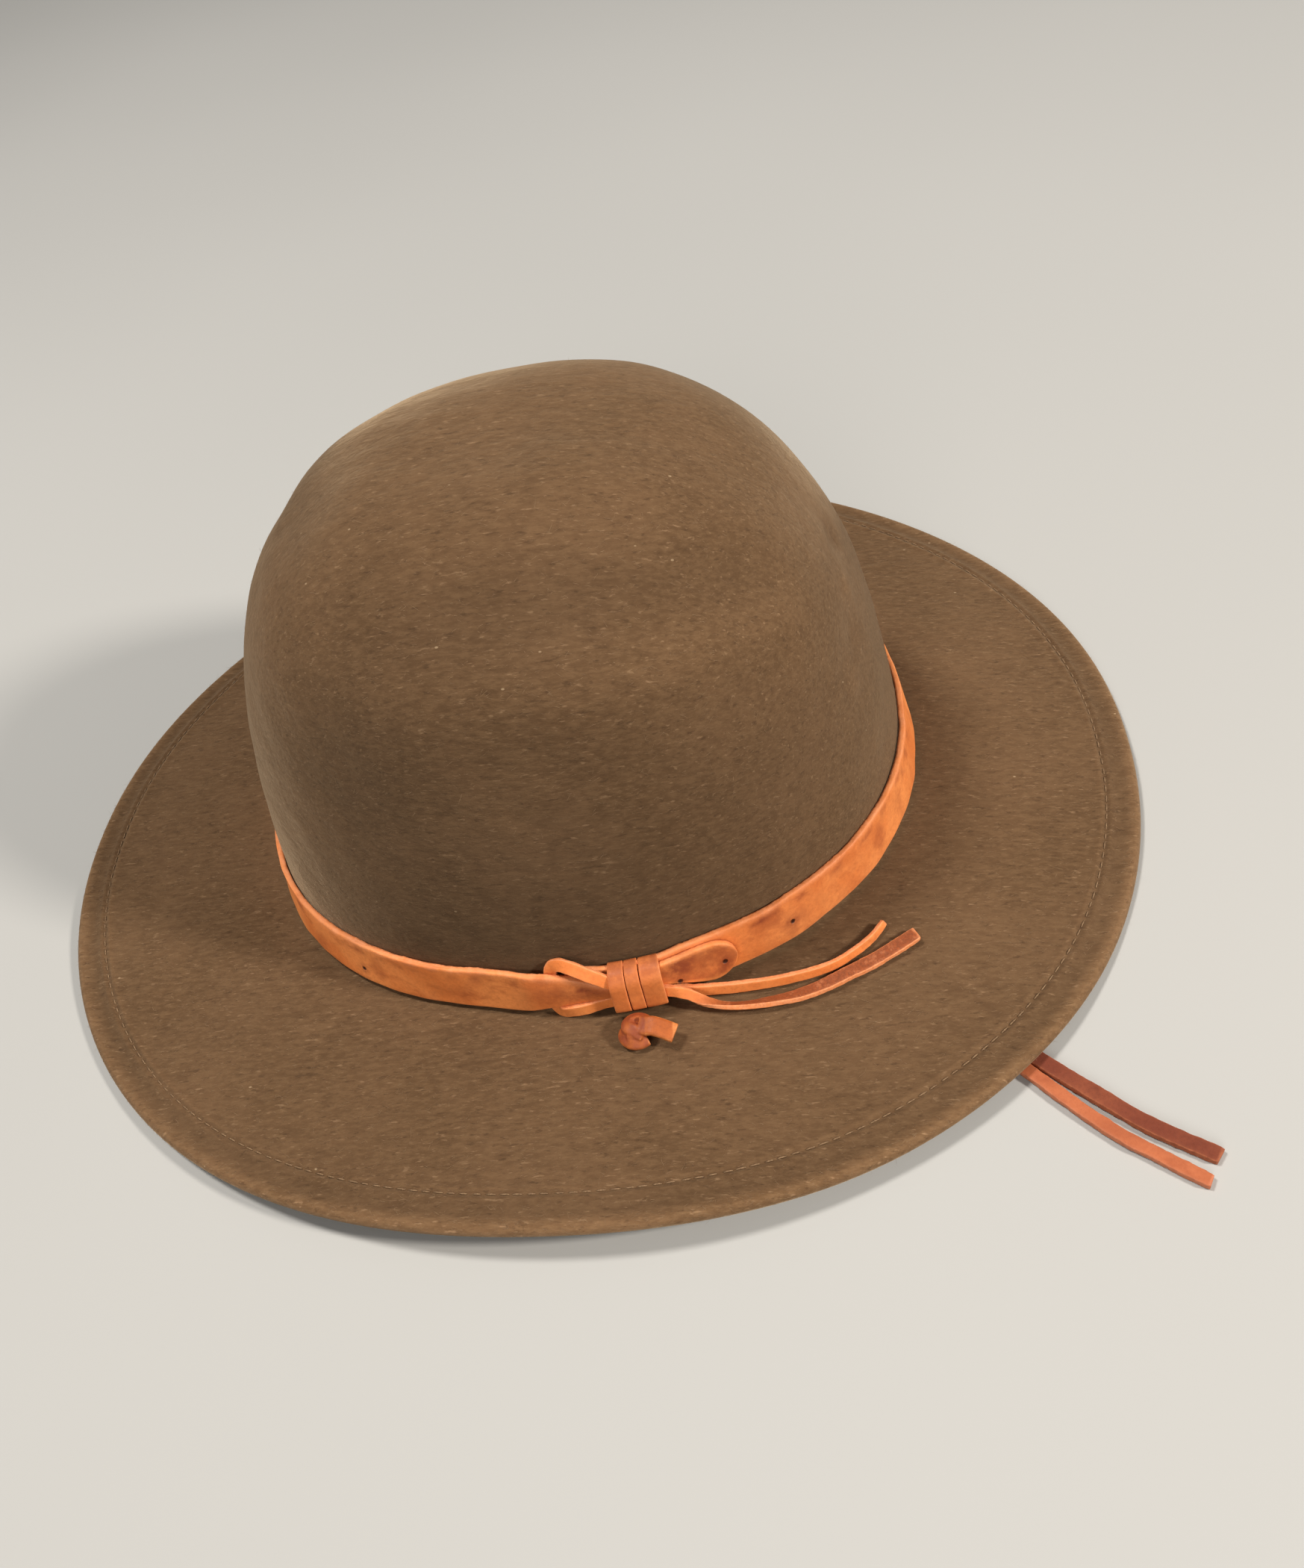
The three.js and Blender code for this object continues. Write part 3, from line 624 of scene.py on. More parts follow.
FLESH_LOOK = leather_look(
    "lace_flesh_side",
    light=srgb(140, 74, 48),
    mid=srgb(116, 55, 36),
    dark=srgb(82, 36, 23),
    flesh=srgb(190, 104, 58),
    edge=srgb(164, 96, 64),
    roughness=0.8,
)

# The bow's free ends on the brim: x, y, z, how far the grain side leans out from straight up,
# share of the full width, and share of flesh side on the upper face
BOW_TAIL_UPPER = [
    (30.0, -86.8, 15.2, 82, 1.0, 0),
    (32.2, -86.9, 14.6, 82, 1.0, 0),
    (36.8, -87.0, 13.3, 80, 1.0, 0),
    (40.3, -87.1, 12.8, 78, 0.96, 0),
    (47.0, -87.0, 12.6, 78, 0.92, 0),
    (54.3, -86.7, 12.6, 78, 0.90, 0),
    (60.5, -86.0, 12.6, 78, 0.86, 0),
    (67.8, -84.9, 12.6, 78, 0.82, 0),
    (75.0, -83.1, 12.6, 78, 0.78, 0),
    (79.2, -81.5, 12.6, 78, 0.75, 0),
    (83.1, -79.2, 12.7, 78, 0.72, 0),
    (86.8, -76.6, 12.8, 76, 0.70, 0),
    (90.1, -73.5, 12.9, 74, 0.66, 0),
    (93.4, -69.3, 13.1, 70, 0.62, 0),
]
BOW_TAIL_LOWER = [
    (30.2, -88.6, 16.2, 80, 0.9, 0),
    (32.5, -89.0, 16.4, 75, 0.9, 0),
    (35.4, -89.3, 16.1, 66, 0.86, 0),
    (38.6, -89.8, 15.0, 50, 0.80, 0.1),
    (41.9, -91.0, 13.7, 20, 0.74, 0.4),
    (45.4, -92.0, 12.8, -22, 0.70, 0.8),
    (49.6, -92.6, 12.2, -38, 0.72, 1),
    (54.6, -92.7, 12.1, -36, 0.78, 1),
    (59.4, -92.3, 12.1, -28, 0.86, 1),
    (66.6, -91.1, 12.1, -16, 0.94, 1),
    (73.8, -88.8, 12.1, -8, 1.0, 1),
    (81.0, -85.6, 12.1, -3, 1.05, 1),
    (88.4, -81.8, 12.1, 0, 1.08, 1),
    (95.9, -77.4, 12.1, 0, 1.1, 1),
    (102.0, -73.4, 12.2, 0, 1.1, 1),
]
# The chin laces: down from their holes, over the table, through the slide and out. x, y, z, lean
CHIN_LACE_LEFT = [
    (23.5, -99.4, 6.3, 90),
    (23.5, -98.6, 3.6, 65),
    (23.4, -96.6, 1.75, 25),
    (22.8, -92.8, 1.1, 0),
    (19.0, -83.0, 1.1, 0),
    (8.0, -73.0, 1.1, 0),
    (-8.0, -64.0, 1.1, 0),
    (-25.0, -52.0, 1.1, 0),
    (-36.0, -34.0, 1.1, 0),
    (-37.0, -13.0, 1.1, 0),
    (-27.0, 5.0, 1.1, 0),
    (-9.0, 16.0, 1.1, 0),
    (12.0, 17.0, 1.1, 0),
    (31.0, 8.0, 1.1, 0),
    (45.0, -8.0, 1.1, 0),
    (55.5, -26.0, 1.3, 0),
    (62.9, -40.2, 2.5, 0),
    (67.0, -45.4, 2.7, 0),
    (77.3, -57.7, 2.7, 0),
    (82.0, -63.2, 2.3, 0),
    (92.0, -75.0, 1.2, 0),
    (108.0, -93.0, 1.1, 0),
    (127.2, -112.5, 1.2, 0),
    (137.0, -122.7, 1.3, 0),
    (146.6, -131.6, 1.2, 0),
    (156.0, -138.3, 1.1, 0),
    (164.6, -144.2, 1.1, 0),
]
CHIN_LACE_RIGHT = [
    (23.5, 99.4, 6.3, 90),
    (23.5, 98.6, 3.6, 65),
    (23.4, 96.6, 1.75, 25),
    (22.8, 92.8, 1.1, 0),
    (18.0, 83.0, 1.1, 0),
    (7.0, 74.0, 1.1, 0),
    (-5.0, 64.0, 1.1, 0),
    (-8.0, 50.0, 1.1, 0),
    (2.0, 39.0, 1.1, 0),
    (18.0, 38.0, 1.1, 0),
    (34.0, 43.0, 1.1, 0),
    (50.0, 46.0, 1.1, 0),
    (63.0, 39.0, 1.1, 0),
    (68.5, 24.0, 1.1, 0),
    (66.0, 7.0, 1.1, 0),
    (61.5, -9.0, 1.2, 0),
    (63.8, -24.0, 1.8, 0),
    (67.6, -36.5, 2.5, 0),
    (70.7, -42.3, 2.7, 0),
    (81.0, -54.6, 2.7, 0),
    (86.0, -60.5, 2.3, 0),
    (96.2, -72.0, 1.2, 0),
    (113.0, -91.0, 1.1, 0),
    (131.4, -110.1, 1.2, 0),
    (140.5, -118.2, 1.3, 0),
    (153.6, -128.9, 1.2, 0),
    (168.2, -137.8, 1.1, 0),
]
# Each cord's table, the level direction its grain side leans to, size, slot and look
CORDS = {
    "bow_tail_upper": (BOW_TAIL_UPPER, (0.24, -0.97, 0), THONG, "thong_leather", THONG_LOOK),
    "bow_tail_lower": (BOW_TAIL_LOWER, (0.24, -0.97, 0), THONG, "thong_leather", THONG_LOOK),
    "chin_lace_left": (CHIN_LACE_LEFT, (0, 1, 0), (3.7, 1.9), "thong_leather", LACE_LOOK),
    "chin_lace_right": (CHIN_LACE_RIGHT, (0, -1, 0), LACE, "lace_flesh_side", FLESH_LOOK),
}
SLIDE = {"x": 74, "y": -50, "turn": -50, "length": 12, "wall": 1.4, "clear": 0.3, "apart": 0.5}


def rounded_rectangle(low, high, inner, outer, corners, steps=8, fill=6):
    """Around a rounded rectangle: (height, out) pairs."""
    a, b, c, d = corners
    arcs = [
        (high - a, outer - a, a, 0),
        (high - b, inner + b, b, 90),
        (low + c, inner + c, c, 180),
        (low + d, outer - d, d, 270),
    ]
    ring = []
    for height, out, corner, start in arcs:
        for i in range(steps + 1):
            turn = math.radians(start + 90 * i / steps)
            ring.append((height + corner * math.sin(turn), out + corner * math.cos(turn)))
    ring = np.array(ring)
    dense = []
    for a, b in zip(ring, np.roll(ring, -1, axis=0)):
        parts = fill if np.linalg.norm(b - a) > 1.0 else 1
        dense += [mix(a, b, k / parts) for k in range(parts)]
    return np.array(dense)


def chin_slide():
    half = LACE[0] + SLIDE["apart"] / 2 + SLIDE["clear"]
    depth = LACE[1] + 2 * SLIDE["clear"]
    wall, length = SLIDE["wall"], SLIDE["length"]
    hole = rounded_rectangle(-half, half, wall, wall + depth, [0.3] * 4)
    outer = rounded_rectangle(-half - wall, half + wall, 0, depth + 2 * wall, [1.3] * 4)
    centre = outer.mean(axis=0)
    rings = []
    for along, shrink in ((-0.5, 0.35), (-0.47, 0.0), (0.47, 0.0), (0.5, 0.35)):
        ring = outer + (centre - outer) * shrink / np.abs(centre - outer).max()
        rings.append(np.column_stack([np.full(len(ring), along * length), ring]))
    for along in (0.5, 0.0, -0.5):
        rings.append(np.column_stack([np.full(len(hole), along * length), hole]))
    local = np.array(rings)
    a = math.radians(SLIDE["turn"])
    along, across, z = local[..., 0], local[..., 1], local[..., 2]
    x = SLIDE["x"] + along * math.cos(a) - across * math.sin(a)
    y = SLIDE["y"] + along * math.sin(a) + across * math.cos(a)
    points = np.stack([x, y, z], -1)
    faces = grid_faces(len(rings), local.shape[1], wrap_rows=True)
    piece = add_object("slide_sleeve", points.reshape(-1, 3), faces, KNOT_LOOK)
    return place(piece, "chin_slide")


def spaced(ring, count):
    """The same closed ring with that many points, evenly along it."""
    closed = np.vstack([ring, ring[:1]])
    run = np.concatenate([[0], np.cumsum(np.linalg.norm(np.diff(closed, axis=0), axis=1))])
    even = np.linspace(0, run[-1], count, endpoint=False)
    return np.stack([np.interp(even, run, closed[:, k]) for k in range(2)], -1)


def make_cords():
    slide = chin_slide()
    for seed, (node, (rows, heading, size, slot, look)) in enumerate(CORDS.items()):
        table = np.array(rows, float)
        lean = np.radians(table[:, 3])[:, None]
        facing = np.cos(lean) * np.array([0, 0, 1.0]) + np.sin(lean) * np.array(heading)
        extra = table[:, 4:6].T
        piece, line, length = ribbon(
            node + "_strip", table[:, :3], facing, size, look, 11 * seed, *extra
        )
        place(piece, node)


make_cords()


# The felt: crown, brim and the hem folded under


def felt_rows(sides):
    """The upper face's rows from the crown's top out to the brim's edge, and their insets.

    Insets are millimetres in from the edge; the crown's rows get 200 and its foot's rows 150.
    """
    angles = np.linspace(-math.pi, math.pi, sides, endpoint=False)
    fine = np.linspace(0, 1, 4001)
    probe = crown_point(np.full(fine.shape, -1.2), fine)
    run = np.concatenate([[0], np.cumsum(np.linalg.norm(np.diff(probe, axis=0), axis=1))])
    shares = np.interp(np.linspace(run[-1], 0, 96), run, fine)[1:-1]
    rows = [crown_point(angles, s) for s in shares]
    insets = [200.0] * len(rows)
    foot = crown_point(angles, 0.0)
    start = brim_point(angles, 0.0)
    outward = unit((start - foot) * (1, 1, 0))
    r = BRIM["foot_radius"]
    for turn in (0, 25, 45, 65):
        t = math.radians(turn)
        rows.append(foot + outward * r * (1 - math.cos(t)) + np.array([0, 0, r * (1 - math.sin(t))]))
        insets.append(150.0)
    reach = np.linalg.norm(brim_point(angles, 1.0) - start, axis=-1)
    steps = list(np.linspace(67.2, 13.5, 27)) + [
        12.4, 11.4, 10.6, 10.1, 9.85, 9.7, 9.5, 9.2, 8.9, 8.6, 8.3, 8.0, 7.7, 7.4, 7.1, 6.7,
        6.2, 5.6, 5.0, 4.4, 3.8, 3.2, 2.6, 2.0, 1.4, 0.7, 0.0,
    ]
    for inset in steps:
        scaled = inset if inset < 13 else 13 + (inset - 13) * (reach - 13) / 55.0
        share = 1 - np.minimum(scaled / reach, 1.0)
        rows.append(brim_point(angles, share))
        insets.append(inset)
    return np.array(rows), np.array(insets), angles


def grid_normals(rows):
    around = np.roll(rows, -1, axis=1) - np.roll(rows, 1, axis=1)
    down = np.gradient(rows, axis=0)
    return unit(np.cross(down, around))


# Rises of the hem's upper face, then its strips of painted shade and painted light: size, inset, reach
# in inset
HEM_RELIEF = [(-0.32, 8.0, 0.75), (0.30, 9.4, 0.9), (0.28, 6.7, 0.7), (-0.55, 3.6, 2.0)]
HEM_PAINTED_SHADING = [(-0.10, 4.6, 2.4), (0.28, 0.0, 1.5), (0.10, 9.5, 0.7)]
# How deep the lower face lies up to each inset, where the felt is folded under
HEM_DEPTHS = [
    (8.9, 2 * FELT),
    (9.2, 2 * FELT - 0.08),
    (9.5, 2 * FELT - 0.45),
    (9.7, FELT + 0.9),
    (9.85, FELT + 0.12),
    (1000, FELT),
]
# A painted sheen on the rolled edge
ROLL_PAINTED_SHEEN = 1.42


def felt_body():
    sides = 288
    rows, insets, angles = felt_rows(sides)
    normals = grid_normals(rows)
    normals[0] = unit(normals[0].mean(axis=0))
    on_brim = insets[:, None] < 100
    relief = 0.35 * ripple(rows, 46, 3) + 0.10 * ripple(rows, 15, 4)
    relief = relief * np.where(on_brim, 0.5 * smooth(insets[:, None] / 20), 1.0)
    wall = np.where(on_brim, 0, 1) * smooth((rows[..., 2] - 26) / 14)
    relief = relief * np.where(on_brim, 1, wall)
    painted_shading = np.ones(relief.shape)
    # Each form's tone paints light (above zero) and shade (below zero) into the felt's colour
    for x, y, z, along, across, rise, tone in CROWN_FORMS_AND_PAINTED_SHADING:
        away = (rows - (x, y, z)) / (along, across, across)
        share = np.exp(-(away**2).sum(-1)) * np.where(on_brim, 0, 1)
        relief = relief + rise * share
        painted_shading = painted_shading * (1 + tone * share)
    seam, tone = [
        sum(size * np.exp(-(((insets - at) / reach) ** 2)) for size, at, reach in rows_of_hem)
        for rows_of_hem in (HEM_RELIEF, HEM_PAINTED_SHADING)
    ]
    top = rows + normals * (relief + seam[:, None])[..., None]
    # The hem's strips are painted shade and light in the felt's colour
    painted_shading = painted_shading * (1 + tone)[:, None]
    rings = list(top)
    edge_centre = rows[-1] - normals[-1] * FELT
    out = unit(np.cross(np.roll(rows[-1], -1, axis=0) - np.roll(rows[-1], 1, axis=0), normals[-1]))
    for turn in np.linspace(0, 180, 15)[1:-1]:
        t = math.radians(turn)
        rings.append(edge_centre + (normals[-1] * math.cos(t) + out * math.sin(t)) * FELT)
    for i in range(len(rows) - 1, -1, -1):
        inset = insets[i]
        depth = next(deep for limit, deep in HEM_DEPTHS if inset <= limit)
        if inset <= 8.9:
            depth = depth - 0.12 * math.exp(-(((inset - 8.0) / 0.7) ** 2))
        if inset > 100 and i % 2 and i > 2:
            continue
        # The inner face follows the outer one's forms, so that the felt keeps its thickness
        rings.append(rows[i] + normals[i] * (relief[i][:, None] - depth))
    rings = np.array(rings)
    rings[..., 2] = np.maximum(rings[..., 2], 0)
    count = len(rings)
    faces = [list(f) for f in grid_faces(count, sides)]
    points = np.vstack([rings.reshape(-1, 3), rings[0].mean(axis=0)[None], rings[-1].mean(axis=0)[None]])
    first, last = count * sides, count * sides + 1
    for j in range(sides):
        k = (j + 1) % sides
        faces.append([first, j, k])
        faces.append([last, (count - 1) * sides + k, (count - 1) * sides + j])
    tones = np.ones((count, sides))
    tones[: len(painted_shading)] = painted_shading
    # The upper half of the rolled edge gets a painted sheen, lighter
    tones[len(painted_shading) : len(painted_shading) + 7] = ROLL_PAINTED_SHEEN
    tones = np.concatenate([tones.reshape(-1), [1.0, 1.0]])
    piece = add_object("felt_hat", points, faces, FELT_LOOK, {"painted_shading": tones})
    place(piece, "felt_body")
    roll = slice(len(top) - 1, len(top) + 8)
    felt_fibres(np.vstack([top[:-1], rings[roll]]), np.concatenate([insets[:-1], np.zeros(9)]))


FIBRES = {"count": 30000, "half_width": 0.026, "raised": 0.03}


def felt_fibres(surface, insets):
    """Loose fibres that lie on the felt, mostly along the hat, and stand off its edge a little."""
    rng = np.random.default_rng(40)
    normals = grid_normals(surface)
    beside = np.roll(surface, -1, axis=1)
    cells = np.linalg.norm(np.cross(surface[1:] - surface[:-1], (beside - surface)[:-1]), axis=-1)
    rim = (insets[:-1] < 2.5)[:, None]
    cells = cells * np.where(rim, 3.0, 1.0)
    pick = rng.choice(cells.size, FIBRES["count"], p=cells.ravel() / cells.sum())
    i, j = np.divmod(pick, cells.shape[1])
    k = (j + 1) % cells.shape[1]
    u, v = rng.uniform(size=(2, len(pick), 1))

    def at(field):
        return mix(mix(field[i, j], field[i, k], v), mix(field[i + 1, j], field[i + 1, k], v), u)

    root, normal = at(surface), unit(at(normals))
    heading = np.array([1.0, 0, 0]) * rng.choice([-1, 1], (len(pick), 1))
    heading = heading + rng.normal(0, 0.4, root.shape)
    heading = unit(heading - normal * (heading * normal).sum(-1, keepdims=True))
    across = np.cross(normal, heading)
    length = rng.gamma(3.0, 0.36, (len(pick), 1)) + 0.3
    lift = np.abs(rng.normal(0, 0.16, (len(pick), 1)))
    curl = rng.normal(0, 0.3, (len(pick), 1))
    middle = root + (heading * 0.5 + across * curl * 0.3 + normal * (lift * 0.7)) * length
    tip = root + (heading * 0.9 + across * curl + normal * lift) * length
    half = FIBRES["half_width"]
    raised = normal * FIBRES["raised"]
    corners = [
        root + across * half,
        root - across * half,
        middle - across * half * 0.8 + raised,
        middle + across * half * 0.8 + raised,
        tip + raised,
    ]
    points = np.stack(corners, 1).reshape(-1, 3)
    points[:, 2] = np.maximum(points[:, 2], 0.05)
    start = np.arange(len(pick))[:, None] * 5
    faces = (start + [0, 1, 2, 3]).tolist() + (start + [3, 2, 4]).tolist()
    look = Look("felt_fibre")
    tone = look.noise(700, 2)
    colour = look.blend(look.ramp(tone, 0.35, 0.6), srgb(98, 74, 51), srgb(140, 114, 86))
    look.set(base_color=colour, roughness=0.9)
    piece = add_object("felt_fibres", points, faces, look.material)
    place(piece, None)


# Soft forms of the crown: middle, half sizes along X and across it, rise, and painted tone: painted
# light above zero, painted shade below zero
CROWN_FORMS_AND_PAINTED_SHADING = [
    (0, -50, 121, 30, 15, -2.4, -0.17),
    (32, -47, 122, 24, 10, -1.2, -0.11),
    (66, -38, 115, 22, 9, -1.4, -0.10),
    (-50, -45, 104, 18, 24, 0.0, 0.09),
    (30, -66, 106, 22, 9, 1.0, 0.04),
    (54, -55, 108, 22, 10, 1.8, 0.11),
    (75, -40, 102, 18, 12, 1.2, 0.10),
    (10, -70, 90, 40, 14, -0.6, -0.08),
    (-44, -65, 84, 26, 24, -1.8, -0.17),
    (75, -56, 68, 26, 20, 0.0, -0.10),
    (-52, -20, 112, 16, 18, 0.6, 0.10),
    (93, -2, 96, 7, 4, -1.1, -0.12),
    (93, -12, 88, 6, 3.5, 0.9, 0.14),
    (95, -22, 78, 7, 4, -0.9, -0.10),
    (94, -31, 70, 6, 3.5, 0.7, 0.12),
    (-60, 11, 120, 8, 6, -0.8, -0.08),
    (4, -80, 66, 60, 18, -0.5, -0.10),
    (0, -84, 34, 90, 26, 0.0, -0.22),
]
felt_body()


# The hem's stitches, above and below


STITCH = {"inset": 8.0, "spacing": 3.6, "length": 2.5, "radius": 0.21, "sunk": 0.13}


def hem_stitches():
    around = np.linspace(-math.pi, math.pi, 4001)
    reach = np.linalg.norm(brim_point(around, 1.0) - brim_point(around, 0.0), axis=-1)
    line = brim_point(around, 1 - STITCH["inset"] / reach)
    run = np.concatenate([[0], np.cumsum(np.linalg.norm(np.diff(line, axis=0), axis=1))])
    count = int(run[-1] / STITCH["spacing"])
    points, faces = [], []
    rng = np.random.default_rng(8)
    for side in (1, -1):
        for n in range(count):
            middle = (n + 0.5) * run[-1] / count + rng.uniform(-0.25, 0.25)
            half = STITCH["length"] / 2 * rng.uniform(0.8, 1.1)
            start, end = [
                np.array([np.interp(middle + s * half, run, line[:, k]) for k in range(3)])
                for s in (-1, 1)
            ]
            tangent = unit(end - start)
            across = unit(np.cross([0, 0, 1.0], tangent))
            up = np.cross(tangent, across)
            faces += tube_faces(5, 6, first=len(points))
            for share in np.linspace(0, 1, 5):
                bulge = math.sqrt(max(1 - (2 * share - 1) ** 2, 0.04))
                radius = STITCH["radius"] * (0.45 + 0.55 * bulge)
                centre = mix(start, end, share)
                if side > 0:
                    centre = centre + up * (0.12 * bulge - STITCH["sunk"])
                else:
                    centre = centre - up * (2 * FELT + 0.02 + 0.1 * bulge)
                    centre[2] = max(centre[2], STITCH["radius"] * 0.6)
                for j in range(6):
                    t = j * math.pi / 3
                    points.append(centre + (across * math.cos(t) + up * math.sin(t) * 0.8) * radius)
    thread = Look("hem_thread")
    tone = thread.noise(2200, 2)
    colour = thread.blend(thread.ramp(tone, 0.3, 0.7), srgb(108, 83, 58), srgb(140, 112, 82))
    thread.set(base_color=colour, roughness=0.85)
    thread.bump((tone, 0.4, 0.0002))
    piece = add_object("hem_stitches", np.array(points), faces, thread.material)
    place(piece, None)


hem_stitches()


# The strap around the crown: angle, lower and upper edge, distance out
STRAP_RUN = [
    (-89.4, 1.3, 15.0, 0.0),
    (-87.0, 1.3, 14.8, 0.25),
    (-83.7, 1.3, 14.6, 1.1),
    (-75.5, 1.3, 14.6, 1.1),
    (-71.0, 0.6, 15.6, 0.3),
    (-66.0, 0.0, 15.8, 0.0),
    (257.0, 0.0, 15.8, 0.0),
    (261.5, 0.1, 15.7, 0.9),
    (264.5, 0.8, 15.4, 1.9),
    (267.2, 1.6, 14.9, 1.9),
    (270.5, 2.3, 13.9, 2.0),
    (273.5, 3.4, 12.1, 2.4),
    (276.3, 4.3, 10.4, 3.1),
    (281.0, 5.2, 11.4, 3.1),
    (285.8, 5.4, 14.0, 3.1),
    (288.5, 3.6, 14.3, 2.7),
    (291.0, 1.0, 14.4, 2.0),
    (293.0, 0.2, 14.4, 2.0),
]
TAB = {"angle": 293.0, "low": 0.2, "high": 14.4, "out": 2.0, "mm_per_degree": 1.66}


def hat_band():
    run = np.array(STRAP_RUN)
    angles = np.concatenate([
        np.arange(-89.4, -64, 0.5),
        np.arange(-64, 256, 0.5),
        np.arange(256, TAB["angle"], 0.4),
    ])
    low, high, out = [eased(np.interp(angles, run[:, 0], run[:, k]), 6) for k in (1, 2, 3)]
    radius = (TAB["high"] - TAB["low"]) / 2
    middle = (TAB["high"] + TAB["low"]) / 2
    turns = np.radians([0, 12, 24, 35, 45, 54, 62, 69, 75, 80, 84, 87])
    tab_angles = TAB["angle"] + radius * np.sin(turns) / TAB["mm_per_degree"]
    angles = np.concatenate([angles, tab_angles])
    half = radius * np.cos(turns)
    low = np.concatenate([low, middle - half])
    high = np.concatenate([high, middle + half])
    out = np.concatenate([out, np.full(len(turns), TAB["out"])])
    count = len(angles)
    # Around the section: share of the width, millimetres added to it, share of the thickness
    near = [(0, 0.0, 0.62), (0, 0.10, 0.88), (0, 0.32, 1.0), (0, 0.8, 1.0)]
    across = [(u, 0.0, 1.0) for u in (0.14, 0.24, 0.34, 0.44, 0.54, 0.62)]
    far = [(1, -4.2, 1.0), (1, -3.2, 1.0), (1, -2.4, 1.0), (1, -1.7, 1.0), (1, -1.0, 1.0)]
    rim = [(1, -0.32, 1.0), (1, -0.10, 0.88), (1, 0.0, 0.62), (1, 0.0, 0.34), (1, -0.14, 0.0)]
    behind = [(0.75, 0.0, 0.0), (0.5, 0.0, 0.0), (0.25, 0.0, 0.0), (0, 0.14, 0.0), (0, 0.0, 0.34)]
    outline = np.array(near + across + far + rim + behind)
    width = (high - low)[:, None]
    squeeze = np.minimum(width / 12.0, 1.0)
    height = low[:, None] + width * outline[:, 0] + outline[:, 1] * squeeze
    share = (height - low[:, None]) / width
    face = outline[:, 2][None, :] > 0.5
    neck = smooth((angles - 260) / 8) * smooth((284 - angles) / 6)
    ridge = neck[:, None] * 0.7 * (1 - (2 * share - 1) ** 2)
    place_out = out[:, None] + outline[:, 2][None, :] * STRAP + ridge
    points = seat(np.repeat(angles[:, None], len(outline), axis=1), height, place_out)
    plain = smooth((angles + 62) / 6) * smooth((256 - angles) / 6)
    wave = ripple(points, 34, 21) * 0.28 + ripple(points, 11, 22) * 0.10
    wave = np.maximum(wave, -0.2) * (0.25 + 0.75 * plain[:, None])
    _, outward, up = seat_frame(angles, (low + high) / 2)
    points = points + outward[:, None] * wave[..., None]
    sag = ripple(points.mean(axis=1), 60, 23) * 0.1 * plain
    points = points + up[:, None] * sag[:, None, None]
    below_top = (1 - share) * width
    above_low = share * width
    ragged = ripple(points, 1.4, 25)
    ragged = ragged * 0.09 * (below_top < 0.2) + ragged * 0.04 * (above_low < 0.2)
    points = points + up[:, None] * ragged[..., None]
    patchy = np.clip(0.75 + 0.35 * ripple(points, 7, 26), 0, 1)
    edge = np.maximum(
        0.85 * smooth(1 - (below_top - 0.3) / 1.9) * patchy,
        0.8 * smooth(1 - above_low / 0.7),
    )
    edge = np.where(face, edge, 1.0)
    tab = smooth((angles - 284) / 3)[:, None] * np.ones_like(edge)
    # Burnished: a rubbed line, worn patches, the tab and the neck; painted shade on the stretch right of
    # the tie
    rubbed = np.exp(-(((below_top - 3.0) / 1.2) ** 2)) * np.clip(ripple(points, 8, 27) + 0.1, 0, 1)
    burnish_and_shade = 0.4 * rubbed * (1 - tab) + 0.3 * np.clip(ripple(points, 13, 28) - 0.25, 0, 1)
    # Painted shade on the stretch right of the tie
    burnish_and_shade = burnish_and_shade + 0.34 * (smooth((angles + 68) / 12) * smooth((10 - angles) / 60))[:, None]
    burnish_and_shade = burnish_and_shade + 0.66 * tab * smooth((below_top - 0.5) / 1.0) * smooth((above_low - 0.5) / 1.0)
    burnish_and_shade = burnish_and_shade + 0.6 * neck[:, None] * (1 - np.abs(2 * share - 1)) ** 0.5
    values = {
        "edge": (edge * (1 - 0.4 * tab)).reshape(-1),
        "burnish_and_shade": np.clip(burnish_and_shade, 0, 1).reshape(-1),
        "flesh": np.tile((outline[:, 2] < 0.1).astype(float), count),
    }
    faces = tube_faces(count, len(outline))
    piece = add_object("band_strap", points.reshape(-1, 3), faces, BAND_LOOK, values)
    place(piece, "hat_band")


hat_band()

# The keeper: three turns around the strap's neck
KEEPER_TURNS = [
    # from, to, lower and upper end, stands out, tilt
    (-82.5, -80.05, 0.0, 0.15, 0.0, 0.02),
    (-79.91, -77.87, 0.12, 0.0, 0.08, 0.05),
    (-77.73, -74.6, 0.0, -0.1, 0.0, 0.0),
]
KEEPER_HOLE = {"low": 1.1, "high": 14.0, "inner": 0.8, "outer": 6.9}
KEEPER_WALL = {"back": 0.8, "side": 1.0, "corners": (4.4, 1.6, 1.6, 2.2)}
# Around a turn's section: share of its width, share of its thickness, edge value
KEEPER_SECTION = [
    (0.0, 0.25, 1), (0.0, 0.75, 0.6), (0.02, 0.92, 0.35), (0.05, 0.985, 0.12),
    (0.14, 1.0, 0), (0.5, 1.02, 0), (0.86, 1.0, 0), (0.95, 0.985, 0.12),
    (0.98, 0.92, 0.35), (1.0, 0.75, 0.6), (1.0, 0.25, 1), (0.9, 0.0, 1), (0.1, 0.0, 1),
]


